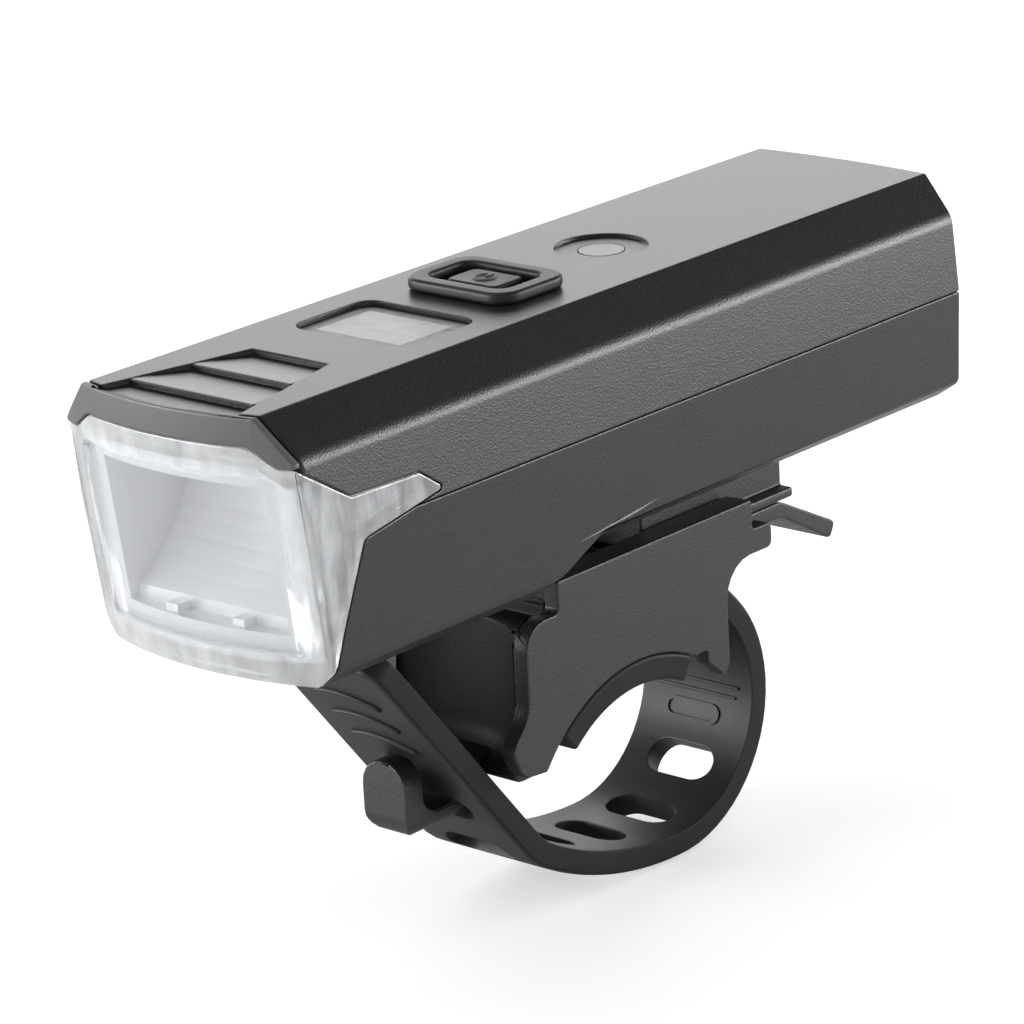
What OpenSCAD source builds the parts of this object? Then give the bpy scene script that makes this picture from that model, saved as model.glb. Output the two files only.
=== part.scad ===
// Bike headlight on a quick-release handlebar bracket, in millimetres.
// Origin: middle of the handlebar axis in the saddle. X runs along the bar,
// the beam points along -Y and +Z is up.
// Lamp pieces are drawn in a lamp frame: y runs back from the top front
// corners of the housing and z runs down from its flat top face.

/* [Housing] */
// Wall of both shells
wall = 1.5; // [1.3:0.1:1.7]
// Rear wall in front of the port cover
rear_wall = 2.5; // [2.4:0.1:3.2]
// Half width of the flat top face
top_half = 11.4; // [11:0.1:12]
// Half width at the lower edge of the bevelled shoulder
shoulder_half = 15.2; // [15:0.1:15.6]
// Drop of the lower edge of the shoulder below the top face
shoulder_drop = 4.25; // [4:0.05:4.5]
// Half width at the split between the shells
split_half = 16; // [15.7:0.1:17]
// Drop of the split below the top face
split_drop = 12.4; // [12.2:0.1:12.8]
// Half width of the flat belly
belly_half = 12.2; // [11:0.1:13]
// Height of the bevel along the belly
belly_bevel = 2.2; // [1.5:0.1:3]
// How far the deep front hangs below the belly
deep_extra = 2.7; // [2:0.1:3.2]
// Where the deep front ends, back from the front corners
deep_end = 34.5; // [33:0.5:37]
// Length of the slope from the deep front up to the belly
step_len = 11; // [9:0.5:13]
// Radius of the bowed front in plan
front_bow = 41; // [38:0.5:50]
// Radius of the bowed rear in plan
rear_bow = 105; // [95:1:120]

/* [Visor and lens] */
// Thickness of the visor band
visor_t = 0.8; // [0.7:0.1:1.1]
// Seam between the visor and the top of the housing
visor_seam = 0.3; // [0.1:0.05:0.4]
// Height of the visor band in the middle
visor_h = 2.9; // [2.6:0.1:3.2]
// Lean of the lens face
lens_lean = 8; // [7:0.5:8.5]
// Thickness of the lens face
lens_face = 1.8; // [1.5:0.1:2]
// Thickness of the lens rim
lens_rim = 2; // [1.6:0.1:2.2]
// Reach of the side wing of the lens, back from the front corners
wing_reach = 21.3; // [19:0.1:22]

/* [Cooling ribs and sensor dish] */
// Depth of each rib step
rib_depth = 0.65; // [0.4:0.05:0.8]
// Depth of the ribbed field at the front edge
rib_lip = 0.3; // [0.1:0.05:0.4]
// First rib step, back from the front corners
rib_y = 3.5; // [3:0.1:4]
// Spacing of the rib steps
rib_pitch = 6.85; // [6:0.05:7.2]
// Half width of the ribbed field at its front
rib_front_half = 9.3; // [8.5:0.1:10]
// Half width of the ribbed field at its back
rib_back_half = 5.05; // [4.5:0.05:6]
// Radius of the sensor dish
dish_r = 4.9; // [4:0.1:5.5]
// Depth of the sensor dish
dish_depth = 0.4; // [0.3:0.05:0.5]
// Place of the sensor dish, back from the front corners
dish_y = 64.2; // [60:0.1:70]
// Radius of the sensor light guide
guide_r = 2.4; // [2:0.1:2.6]

/* [Display and button] */
// Length of the display window across the lamp
window_w = 15; // [14:0.1:16]
// Length of the display window along the lamp
window_l = 11.4; // [10.6:0.1:12]
// Middle of the display window, back from the front corners
window_y = 30.8; // [30.5:0.1:31.5]
// Depth of the window below the top face
window_drop = 0.5; // [0.4:0.05:0.6]
// Middle of the button, back from the front corners
button_y = 46; // [45.5:0.1:48]
// Button cap across the lamp
cap_w = 6.8; // [6:0.1:7.2]
// Button cap along the lamp
cap_l = 4.8; // [4.2:0.1:5.2]
// Height of the button cap above the top face
cap_h = 1; // [0.8:0.05:1.2]
// Rubber bezel across the lamp
bezel_w = 14.4; // [13.6:0.1:15]
// Rubber bezel along the lamp
bezel_l = 10.6; // [10:0.1:11.2]
// Width of the bezel rim
bezel_rim = 1.9; // [1.6:0.1:2]
// Height of the bezel
bezel_h = 1.35; // [1.1:0.05:1.6]
// Travel of the button
button_travel = 0.5; // [0.3:0.05:0.5]

/* [Optics] */
// Lower front edge of the reflector mirror, back from the front corners
rim_y = 5.6; // [5.4:0.1:6]
// Depth of the reflector mirror
bowl_depth = 8.3; // [8:0.1:8.6]
// Focal length of the reflector mirror
focal = 6; // [5.6:0.1:6.2]
// Half width of the reflector opening
bowl_half_w = 10.3; // [9.5:0.1:10.8]
// Half height of the reflector opening
bowl_half_h = 7.7; // [7:0.1:8]
// Wall of the reflector
bowl_wall = 1.2; // [1:0.1:1.3]
// Drop of the beam axis below the top face
beam_drop = 15; // [14.8:0.1:15.4]
// Thickness of the led board
led_board_t = 1.6; // [1.2:0.1:2]
// Thickness of the heat sink plate
sink_plate = 2; // [1.5:0.1:2.5]
// Length of the heat sink fins
fin_len = 11; // [10.5:0.1:12]

/* [Power and boards] */
// Radius of the battery cell
cell_r = 9.15; // [8.9:0.05:9.2]
// Length of the battery cell
cell_len = 65; // [64:0.5:70]
// Drop of the main board below the top face
board_drop = 4; // [3.9:0.1:4.4]
// Thickness of the main board
board_t = 0.8; // [0.6:0.1:1]
// Half width of the main board
board_half = 9.3; // [9:0.1:9.4]
// Width of the charge socket
socket_w = 8.9; // [8.6:0.1:9.2]
// Height of the charge socket
socket_h = 3.2; // [3:0.1:3.3]
// Length of the charge socket
socket_len = 6.9; // [6.5:0.1:8]
// Width of the port cover
cover_w = 13; // [12.4:0.1:14]
// Height of the port cover
cover_h = 6.4; // [6.2:0.1:6.6]
// Thickness of the port cover
cover_t = 1.4; // [1.1:0.1:1.5]
// Radius of the port cover hinge bead
bead_r = 0.8; // [0.7:0.05:0.8]

/* [Screws] */
// Radius of the screw shanks
screw_r = 1; // [0.8:0.1:1.1]
// Radius of the screw heads
head_r = 1.9; // [1.7:0.1:2]
// Height of the screw heads
head_h = 1.3; // [1:0.1:1.4]
// Length of the case screws under the head
case_screw_len = 8.5; // [7:0.5:9]
// Side place of the front case screws
front_boss_x = 12.2; // [12.1:0.05:12.3]
// Side place of the rear case screws
rear_boss_x = 9.5; // [8.5:0.1:10]

/* [Slide rail] */
// Half width of the rail flange
flange_half = 8; // [7.5:0.1:8.4]
// Half width of the rail neck
neck_half = 6.4; // [6:0.1:6.6]
// Height of the rail neck between the belly and the flange
neck_h = 5.5; // [5.2:0.1:6]
// Thickness of the rail flange
flange_t = 1.1; // [1:0.05:1.3]
// Front end of the rail, back from the front corners
rail_front = 61; // [60:0.5:62]
// Length of the rail
rail_len = 23.5; // [22:0.5:26]

/* [Bracket] */
// Radius of the handlebar
bar_r = 15.9; // [15.5:0.1:16.5]
// Thickness of the saddle pad
pad_t = 2.8; // [2.4:0.1:3]
// Handlebar axis back from the front corners of the lamp
bar_back = 55.5; // [54:0.5:57]
// Height of the release tongue top above the handlebar axis
tongue_top = 28; // [27.6:0.1:29]
// Thickness of the bracket side plates
plate_t = 1.7; // [1.5:0.1:2.2]
// Front end of the slide channel from the handlebar axis
channel_front = -12.2; // [-13:0.1:-11]
// Rear end of the slide channel from the handlebar axis
channel_rear = 19.5; // [18.5:0.1:20]
// Height of the channel lips
lip_h = 1.2; // [1:0.1:1.6]
// Thickness of the saddle wall
saddle_t = 2; // [1.6:0.1:2.4]
// Angle of the saddle in front of the vertical
saddle_front = 41; // [36:0.5:41]
// Angle of the saddle behind the vertical
saddle_back = 27.4; // [25:0.2:28]
// Radius of the strap anchor bar
anchor_r = 1.6; // [1.4:0.05:1.8]
// Half width of the hook
hook_half = 3; // [2.5:0.1:3.4]

/* [Release tongue] */
// Half width of the tongue
tongue_half = 7.5; // [7:0.1:7.8]
// Thickness of the tongue
tongue_t = 1.8; // [1.6:0.05:1.9]
// Pivot of the tongue behind the handlebar axis
pivot_y = 4.5; // [4:0.1:5.5]
// Radius of the tongue pivot bead
pivot_r = 1.1; // [1:0.05:1.1]
// Where the tongue bends down, behind the handlebar axis
tongue_bend = 27.5; // [26.5:0.1:29]
// Length of the sloped thumb pad
thumb_len = 9.7; // [8:0.1:11]
// Slope of the thumb pad
thumb_slope = 29.6; // [24:0.2:32]
// Height of the latch tooth
tooth_h = 1.6; // [1.2:0.1:1.8]

/* [Strap] */
// Half width of the strap
strap_half = 7.6; // [7:0.1:7.8]
// Thickness of the strap
strap_t = 2.7; // [2.4:0.1:2.8]
// Outer radius of the strap eye
eye_r = 3.8; // [3.4:0.1:4]
// Straight part of the strap from its anchor
anchor_run = 4.6; // [4:0.1:5.5]
// Bend radius behind the handlebar
rear_bend = 13.8; // [13.2:0.1:14.4]
// Bend radius under the handlebar
under_bend = 43.7; // [42:0.1:45]
// Bend radius ahead of the hook
front_bend = 6.8; // [6:0.1:8]
// Straight pull tab
tab_len = 34; // [31:0.5:34.5]
// Spacing of the strap slots
slot_pitch = 8.8; // [8.4:0.1:9]
// First slot along the strap from its anchor
first_slot = 26.1; // [25.5:0.1:26.5]
// Width of the strap slots across the strap
slot_w = 8.6; // [8.2:0.1:9]
// Length of the strap slots along the strap
slot_l = 4.4; // [4.2:0.1:4.8]

/* [Fits] */
// Gap between pieces that rest on each other
seat_gap = 0.05; // [0.03:0.01:0.08]
// Gap round pieces that move
slide_gap = 0.3; // [0.25:0.05:0.4]
// Gap round pivots
run_gap = 0.05; // [0.03:0.01:0.08]

/* [Hidden] */
$fn = 64;
$fs = 0.4;
far = 60;

// Heights in the lamp frame
cell_gap = 0.25;
belly_drop = board_drop + board_t + cell_gap + 2 * cell_r + seat_gap + wall + 0.05;
deep_drop = belly_drop + deep_extra;
side_drop = belly_drop - belly_bevel;
cell_drop = belly_drop - wall - seat_gap - cell_r;
rise_drop = side_drop - 0.3;
flange_top = belly_drop + neck_h;
flange_bottom = flange_top + flange_t;
bar_drop = flange_bottom + slide_gap + tongue_top;

// Half widths of the lower corners
base_half = split_half - 0.4;
deep_bevel = 1.7;
deep_half = split_half - 0.5;
deep_flat = split_half - 2.4;

// Places along the lamp
vertex_y = rim_y + bowl_depth;
lamp_hole_r = 3.2;
led_y = vertex_y - focal;
sink_front = vertex_y + bowl_wall + seat_gap;
sink_back = sink_front + sink_plate + fin_len;
tab_strip = 0.3;
cell_front = sink_back + 3 * seat_gap + tab_strip + 0.5;
cell_back = cell_front + cell_len;
socket_front = cell_back + tab_strip + 1.1;
body_len = socket_front + socket_len + rear_wall;
rear_bulge = 0.9;
front_y = -1.6;

// Bracket values seen from the handlebar axis
saddle_r = bar_r + pad_t;
channel_half = flange_half + slide_gap;
plate_half = channel_half + plate_t;
lip_bottom = tongue_top + 2 * slide_gap + flange_t;
plate_top = lip_bottom + lip_h;
floor_bottom = tongue_top - 2.6;
pivot_z = tongue_top - 1.4;
anchor_angle = 34.2;
anchor_out = 5.5;
anchor = (saddle_r + anchor_out) * [sin(anchor_angle), cos(anchor_angle)];

// Helper functions for outlines of [x, y, corner radius]
function xy(p) = [p[0], p[1]];
function unit(v) = v / norm(v);
function fillet(a, b, c, steps) =
    b[2] <= 0 ? [xy(b)] :
    let (
        u = unit(xy(a) - xy(b)),
        v = unit(xy(c) - xy(b)),
        half = acos(u * v) / 2,
        centre = xy(b) + unit(u + v) * b[2] / sin(half),
        from = xy(b) + u * b[2] / tan(half) - centre,
        to = xy(b) + v * b[2] / tan(half) - centre,
        start = atan2(from[1], from[0]),
        turn = (atan2(to[1], to[0]) - start + 540) % 360 - 180
    )
    [for (i = [0 : steps])
        centre + b[2] * [cos(start + turn * i / steps), sin(start + turn * i / steps)]];
function rounded(p, steps = 5) =
    let (n = len(p))
    [for (i = [0 : n - 1]) each fillet(p[(i + n - 1) % n], p[i], p[(i + 1) % n], steps)];
function mirrored(p) =
    concat(p, [for (i = [len(p) - 1 : -1 : 0]) [-p[i][0], p[i][1], p[i][2]]]);
function edge_normal(a, b) =
    let (e = unit(xy(b) - xy(a))) [-e[1], e[0]];
function inset(p, d) =
    let (n = len(p))
    [for (i = [0 : n - 1])
        let (
            n1 = edge_normal(p[(i + n - 1) % n], p[i]),
            n2 = edge_normal(p[i], p[(i + 1) % n]),
            q = xy(p[i]) + d * (n1 + n2) / (1 + n1 * n2)
        )
        [q[0], q[1], max(p[i][2] - d, 0)]];

// Outlines, listed counter-clockwise
bevel_w = shoulder_half - top_half;
shoulder_round = 2.6;
tip_flare = 0.05;
visor_curl = 2.2;
lens_seam = 0.1;
brow_y = 0.75;
valley_y = 8.3;
valley_drop = 9.1;
cheek_y = 9.6;
cheek_corner = 1.3;
cheek_drop = 21.5;
chin_y = 4.7;
rear_outline = mirrored([
    [belly_half, -belly_drop, 0.8],
    [base_half, -side_drop, 1.2],
    [split_half, -split_drop, 0],
    [shoulder_half, -shoulder_drop, shoulder_round],
    [top_half, 0, 0.4]]);
deep_outline = mirrored([
    [deep_flat, -deep_drop, 1],
    [deep_half, -deep_drop + deep_bevel, 1.4],
    [split_half, -split_drop, 0],
    [shoulder_half, -shoulder_drop, shoulder_round],
    [top_half, 0, 0.4]]);
visor_outline = mirrored([
    [top_half - 0.18 * bevel_w, -visor_h, visor_curl],
    [top_half + 0.55 * bevel_w, -shoulder_drop - 0.6, 0.8],
    [shoulder_half + tip_flare, -shoulder_drop - 0.5, 0],
    [shoulder_half, -shoulder_drop, 0.4],
    [top_half, 0, 0.4]]);
lens_outline = mirrored([
    [deep_flat, -deep_drop, 1.4],
    [deep_half, -deep_drop + 1.9, 1.8],
    [split_half, -split_drop, 0],
    [shoulder_half + tip_flare, -shoulder_drop - 0.5 - lens_seam, 0],
    [top_half + 0.55 * bevel_w - lens_seam, -shoulder_drop - 0.6 - lens_seam, 0.8],
    [top_half - 0.18 * bevel_w - lens_seam, -visor_h - lens_seam, visor_curl]]);
lens_zone = [
    [-6, -deep_drop - 3, 0],
    [chin_y - 0.3, -deep_drop - 3, 0],
    [chin_y, -deep_drop + 0.6, 0],
    [chin_y + 1.9, -cheek_drop, 0],
    [cheek_y, -split_drop - cheek_corner, 1.2],
    [wing_reach, -split_drop + 0.7, 0.4],
    [wing_reach - 3.4, -split_drop + 3.1, 1],
    [valley_y, -valley_drop, 1.2],
    [brow_y, -shoulder_drop - tip_flare, 0],
    [brow_y, -visor_h - lens_seam / 2, 0],
    [-6, -visor_h - lens_seam / 2, 0]];
step_angle = atan2(deep_drop - rise_drop, step_len);
function belly_profile(d) =
    let (shift = d * (1 - 1 / cos(step_angle)) / tan(step_angle))
    rounded([
        [-far, -deep_drop + d, 0],
        [deep_end + shift, -deep_drop + d, 7],
        [deep_end + step_len + shift, -rise_drop + d, 7],
        [far, -rise_drop + d, 0],
        [far, 6, 0],
        [-far, 6, 0]]);

// Placing helpers
module lamp_frame() {
    translate([0, -bar_back, bar_drop])
        children();
}

module along(y0, y1) {
    translate([0, y1, 0])
        rotate([90, 0, 0])
            linear_extrude(y1 - y0)
                children();
}

module across(half) {
    rotate([90, 0, 90])
        linear_extrude(2 * half, center = true)
            children();
}

module block(half, y0, y1, z0, z1) {
    translate([-half, y0, z0])
        cube([2 * half, y1 - y0, z1 - z0]);
}

module rounded_block(w, l, r, z0, z1) {
    translate([0, 0, z0])
        linear_extrude(z1 - z0)
            polygon(rounded(mirrored([[w / 2, -l / 2, r], [w / 2, l / 2, r]])));
}

module both_sides() {
    children();
    mirror([1, 0, 0])
        children();
}

module bar_rod(r, half) {
    rotate([0, 90, 0])
        cylinder(r = r, h = 2 * half, center = true);
}

module bow_front(d) {
    translate([0, front_y + front_bow, -far])
        cylinder(r = front_bow - d, h = 2 * far, $fn = 128);
    block(far, front_y + front_bow - 10, 4 * far, -far, far);
}

// Body outline with the walls taken off
module body_space(d) {
    intersection() {
        union() {
            along(deep_end, body_len + 4)
                polygon(rounded(inset(rear_outline, d)));
            intersection() {
                along(-5, deep_end + step_len + 10)
                    polygon(rounded(inset(deep_outline, d)));
                across(far)
                    polygon(belly_profile(d));
            }
        }
        translate([0, body_len + rear_bulge - rear_bow, -far])
            cylinder(r = rear_bow - d * rear_wall / wall, h = 2 * far, $fn = 128);
    }
}

module lens_space() {
    across(far)
        polygon(rounded(lens_zone));
}

// Screw places and shared screw
module at_case_screws() {
    both_sides()
        translate([front_boss_x, sink_front + boss_back, 0])
            children();
    both_sides()
        translate([rear_boss_x, body_len - rear_wall - rear_boss_in, 0])
            children();
}

module case_screw(gap) {
    translate([0, 0, -head_z - head_h - gap])
        cylinder(r = head_r + gap, h = head_h + gap);
    translate([0, 0, -head_z - head_h / 2])
        cylinder(r = screw_r + gap, h = case_screw_len + head_h / 2 + gap);
}

head_z = split_drop + 4.6;
boss_r = 2;
boss_back = 9;
rear_boss_in = 3.5;
well_r = 2.6;

// Upper shell with its top features
module rib_cut() {
    intersection() {
        across(far)
            polygon([
                [-5, 2],
                [-5, -rib_lip],
                [front_y, -rib_lip],
                [rib_y, -rib_depth],
                [rib_y, 0],
                [rib_y + rib_pitch, -rib_depth],
                [rib_y + rib_pitch, 0],
                [rib_y + 2 * rib_pitch, -rib_depth],
                [rib_y + 2 * rib_pitch, 2]]);
        translate([0, 0, -2])
            linear_extrude(4)
                polygon(rounded(mirrored([
                    [rib_front_half, -0.5, 0],
                    [rib_back_half, rib_y + 2 * rib_pitch + 0.1, 0]])));
    }
}

ledge = 1.4;
window_t = 0.5;
cap_gap = slide_gap;
port_drop = board_drop + board_t + seat_gap + socket_h / 2;
cover_floor = body_len - 1;
cover_top = port_drop - cover_h / 2 - 0.5;
bead_drop = cover_top + cover_h + 0.6;
bead_y = cover_floor + slide_gap + bead_r;

module port_pocket() {
    block(cover_w / 2 + slide_gap, cover_floor, body_len + 5, -bead_drop, -cover_top + slide_gap);
    block(cover_w / 2 + slide_gap, bead_y - 0.2, body_len + 5, -bead_drop - 1.6, -bead_drop + 1);
    translate([0, bead_y, -bead_drop])
        bar_rod(bead_r + run_gap, cover_w / 2 + slide_gap);
    translate([0, body_len - rear_wall - 2, -port_drop])
        rotate([-90, 0, 0])
            rounded_block(socket_w + 0.4, socket_h + 0.4, 1.2, 0, 8);
}

module upper_shell() {
    color("#2a2b2d")
    lamp_frame() {
        difference() {
            intersection() {
                body_space(0);
                bow_front(visor_t + visor_seam);
                block(far, -far, 3 * far, -split_drop, far);
            }
            difference() {
                body_space(wall);
                at_case_screws()
                    translate([0, 0, -split_drop])
                        cylinder(r = boss_r, h = split_drop);
                board_posts();
            }
            lens_space();
            rib_cut();
            translate([0, window_y, 0])
                rounded_block(window_w + 2 * seat_gap, window_l + 2 * seat_gap, 1.8, -window_drop - window_t - seat_gap, 1);
            translate([0, window_y, 0])
                rounded_block(window_w - 2 * ledge, window_l - 2 * ledge, 0.6, -wall - 1, 1);
            translate([0, button_y, 0])
                rounded_block(cap_w + 2 * cap_gap, cap_l + 2 * cap_gap, 1.1, -wall - 1, 1);
            translate([0, dish_y, -dish_depth])
                cylinder(r = dish_r, h = 3);
            translate([0, dish_y, -wall - 1])
                cylinder(r = guide_r + seat_gap, h = 3);
            at_case_screws()
                case_screw(run_gap);
            port_pocket();
        }
    }
}

post_r = 1.5;
post_x = board_half - 1.7;
pin_r = 0.8;
post_front = 0.32 * cell_len;
post_back = 0.69 * cell_len;

module at_board_posts() {
    both_sides()
        translate([post_x, deep_end + post_front, 0])
            children();
    both_sides()
        translate([post_x, deep_end + post_back, 0])
            children();
}

module board_posts() {
    at_board_posts() {
        translate([0, 0, -board_drop + seat_gap])
            cylinder(r = post_r, h = board_drop);
        translate([0, 0, -board_drop - board_t])
            cylinder(r = pin_r, h = board_drop);
    }
}

module visor() {
    color("#55585b")
    lamp_frame() {
        difference() {
            intersection() {
                along(-5, 8)
                    polygon(rounded(visor_outline));
                bow_front(0);
            }
            bow_front(visor_t);
            rib_cut();
        }
    }
}

// Lower shell with cradle ribs, screw wells and rail holes
rabbet = 0.75;
seal_front = deep_end - 9;
cradle_t = 1.6;

module seal_band(d_out, d_in, z0, z1) {
    difference() {
        intersection() {
            body_space(d_out);
            block(far, seal_front, 3 * far, z0, z1);
        }
        body_space(d_in);
    }
}

module at_rail_screws() {
    translate([0, rail_front + rail_screw_in, 0])
        children();
    translate([0, rail_front + rail_screw_in + rail_screw_gap, 0])
        children();
}

module rail_screw(gap) {
    translate([0, 0, -belly_drop + wall - cone_h - gap])
        cylinder(r1 = screw_r + gap, r2 = head_r + gap, h = cone_h + gap);
    translate([0, 0, -belly_drop - rail_grip - gap])
        cylinder(r = screw_r + gap, h = rail_grip + wall + gap - 0.2);
}

cone_h = 1;
rail_grip = 3.6;
rail_screw_in = 0.17 * rail_len;
rail_screw_gap = 0.36 * rail_len;

module lower_shell() {
    color("#26272a")
    lamp_frame() {
        difference() {
            intersection() {
                body_space(0);
                block(far, -far, 3 * far, -far, -split_drop - seat_gap);
            }
            difference() {
                body_space(wall);
                at_case_screws() {
                    translate([0, 0, -far])
                        cylinder(r = boss_r, h = far - split_drop - seat_gap);
                    translate([0, 0, -far])
                        cylinder(r = well_r, h = far - head_z + 1.2);
                }
                difference() {
                    union() {
                        block(far, cell_front + 12, cell_front + 12 + cradle_t, -far, -cell_drop - 3);
                        block(far, cell_back - 12 - cradle_t, cell_back - 12, -far, -cell_drop - 3);
                    }
                    translate([0, 0, -cell_drop])
                        rotate([-90, 0, 0])
                            cylinder(r = cell_r + seat_gap, h = 3 * far);
                }
            }
            lens_space();
            block(far, -5, rim_y + 4, -split_drop - 1, 0);
            seal_band(rabbet, wall + 0.01, -split_drop - 0.8, 0);
            at_case_screws() {
                case_screw(run_gap);
                translate([0, 0, -far])
                    cylinder(r = head_r + run_gap, h = far - head_z);
            }
            at_rail_screws()
                rail_screw(run_gap);
        }
    }
}

module shell_seal() {
    color("#3b3d40")
    lamp_frame()
        seal_band(rabbet + seat_gap, wall + seat_gap, -split_drop - 0.75, -split_drop - 0.1);
}

// Front lens, gasket and optics
lens_back = 0.2;

module lens_face_space(d) {
    translate([0, lens_back, -shoulder_drop])
        rotate([lens_lean, 0, 0])
            bow_front(d);
}

module clear_lens() {
    color("#d7e3ea")
    lamp_frame() {
        difference() {
            intersection() {
                along(-6, wing_reach + 5)
                    polygon(rounded(lens_outline));
                across(far)
                    polygon(rounded(inset(lens_zone, seat_gap)));
                lens_face_space(0);
            }
            intersection() {
                along(-6, wing_reach + 5)
                    polygon(rounded(inset(lens_outline, lens_rim)));
                lens_face_space(lens_face);
            }
        }
    }
}

rim_t = 1.2;
rim_gap = lens_face + slide_gap;
rim_in = lens_rim + slide_gap;
liner_t = 0.8;
liner_in = 0.8;
gasket_t = 1;
gasket_w = 0.8;
clip_x = 0.42 * bowl_half_w;
clip_w = 1.5;
clip_h = 0.8;
clip_out = 1.6;
mirror_top = -beam_drop + bowl_half_h;
mirror_floor = -beam_drop - bowl_half_h;
mirror_h = min(sqrt(4 * focal * bowl_depth), 2 * bowl_half_h - 0.3);
ledge_y = vertex_y - mirror_h * mirror_h / (4 * focal);
mirror_steps = 10;

function mirror_profile(d) = concat(
    [[-6, mirror_top + d], [vertex_y + d, mirror_top + d]],
    [for (i = [1 : mirror_steps])
        let (h = mirror_h * i / mirror_steps)
        [vertex_y + d - h * h / (4 * focal), mirror_top - h]],
    [[ledge_y + d, mirror_floor - d], [-6, mirror_floor - d]]);

// Half of a parabola that throws the light of the led above it forward
module mirror_space(d) {
    across(bowl_half_w + d)
        polygon(mirror_profile(d));
}

module mirror_box(gap) {
    intersection() {
        mirror_space(bowl_wall + gap);
        lens_bore(rim_in + gasket_w + seat_gap - gap);
    }
}

module lens_bore(d) {
    along(-6, wing_reach)
        polygon(rounded(inset(lens_outline, d)));
}

// Bright lining behind the side wings of the lens
module wing_liner(d) {
    intersection() {
        difference() {
            lens_bore(rim_in + seat_gap - d);
            lens_bore(rim_in + seat_gap + liner_t + d);
        }
        across(far)
            polygon(rounded(inset(lens_zone, liner_in - d)));
        block(far, chin_y, far, -far, 0);
    }
}

module reflector() {
    color("#c9ccce")
    lamp_frame() {
        difference() {
            intersection() {
                union() {
                    difference() {
                        lens_bore(rim_in);
                        lens_face_space(rim_gap + rim_t);
                    }
                    mirror_box(0);
                    wing_liner(0);
                }
                lens_face_space(rim_gap);
            }
            mirror_space(0);
            translate([0, led_y, mirror_top - 1])
                cylinder(r = lamp_hole_r, h = bowl_wall + 2);
        }
        both_sides()
            translate([clip_x, 0, mirror_floor])
                block(clip_w / 2, rim_y - clip_out, rim_y, -clip_h, clip_h);
    }
}

gasket_gap = rim_gap + rim_t + seat_gap;

module lens_gasket() {
    color("#1b1c1d")
    lamp_frame() {
        difference() {
            intersection() {
                lens_bore(rim_in + 2 * seat_gap);
                lens_face_space(gasket_gap);
            }
            lens_face_space(gasket_gap + gasket_t);
            mirror_box(seat_gap);
            wing_liner(seat_gap);
        }
    }
}

emitter_half = 1.75;
emitter_base = 0.8;
dome_r = emitter_base - seat_gap;
led_seat = mirror_top + bowl_wall;

module led_emitter() {
    color("#f2e4a8")
    lamp_frame() {
        translate([0, led_y, led_seat - emitter_base]) {
            translate([-emitter_half, -emitter_half, 0])
                cube([2 * emitter_half, 2 * emitter_half, emitter_base]);
            sphere(r = dome_r, $fn = 32);
        }
    }
}

led_board_half = 8;
led_board_ahead = 3;
led_board_top = led_seat + seat_gap + led_board_t;

module led_board() {
    color("#dfe2e0")
    lamp_frame()
        block(led_board_half, led_y - led_board_ahead, vertex_y, led_seat + seat_gap, led_board_top);
}

sink_half = front_boss_x - well_r - slide_gap;
sink_top = board_drop + board_t + 0.6;
sink_bottom = deep_drop - wall - seat_gap;
fin_t = 1.4;
fin_pitch = (sink_half - fin_t / 2) / 2;

module heat_sink() {
    color("#9ea2a6")
    lamp_frame() {
        block(sink_half, sink_front, sink_front + sink_plate, -sink_bottom, -wall - seat_gap);
        block(sink_half, led_y - led_board_ahead, sink_front + 0.1, led_board_top + seat_gap, -wall - seat_gap);
        for (i = [-2 : 2])
            translate([i * fin_pitch, 0, 0])
                block(fin_t / 2, sink_front + sink_plate - 0.1, sink_back, -sink_bottom, -sink_top);
    }
}

// Boards, controls and power
chip_back = 0.17 * cell_len;
chip_w = 0.6 * board_half;
chip_h = 0.25 * board_drop;
coil_back = 0.31 * cell_len;
coil_w = 0.65 * board_half;
coil_h = 0.4 * board_drop;
board_sink = 0.1;
board_ahead = 8;

module main_board() {
    color("#1f5a38")
    lamp_frame() {
        difference() {
            union() {
                block(board_half, cell_front - board_ahead, body_len - rear_wall - slide_gap, -board_drop - board_t, -board_drop);
                translate([0, dish_y + chip_back, 0])
                    rounded_block(chip_w, chip_w, 0.3, -board_drop - board_sink, -board_drop + chip_h);
                translate([0, dish_y + coil_back, 0])
                    rounded_block(coil_w, coil_w, 1, -board_drop - board_sink, -board_drop + coil_h);
            }
            at_board_posts()
                translate([0, 0, -far])
                    cylinder(r = pin_r + seat_gap, h = far);
            at_case_screws()
                translate([0, 0, -far])
                    cylinder(r = boss_r + slide_gap, h = far);
        }
    }
}

flange_drop = wall + slide_gap;
cap_flange = 0.5;
cap_lip = 0.9;
switch_w = 4.5;
switch_top = flange_drop + cap_flange + button_travel + slide_gap;

module tact_switch() {
    color("#8d9094")
    lamp_frame()
        translate([0, button_y, 0])
            rounded_block(switch_w, switch_w, 0.4, -board_drop + seat_gap, -switch_top);
}

module button_bezel() {
    color("#1d1e1f")
    lamp_frame()
        translate([0, button_y, 0])
            difference() {
                rounded_block(bezel_w, bezel_l, 2.6, seat_gap, bezel_h);
                rounded_block(bezel_w - 2 * bezel_rim, bezel_l - 2 * bezel_rim, 1.6, -1, bezel_h + 1);
            }
}

module button_cap() {
    color("#2e3032")
    lamp_frame()
        translate([0, button_y, 0]) {
            rounded_block(cap_w, cap_l, 0.9, -flange_drop - 0.1, cap_h);
            rounded_block(cap_w + 2 * cap_lip, cap_l + 2 * cap_lip, 1.2, -flange_drop - cap_flange, -flange_drop);
        }
}

display_top = wall + 2 * seat_gap;
display_in = 0.085 * window_w;
display_w = window_w - 2 * display_in;
display_l = window_l - 2 * display_in;

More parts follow.
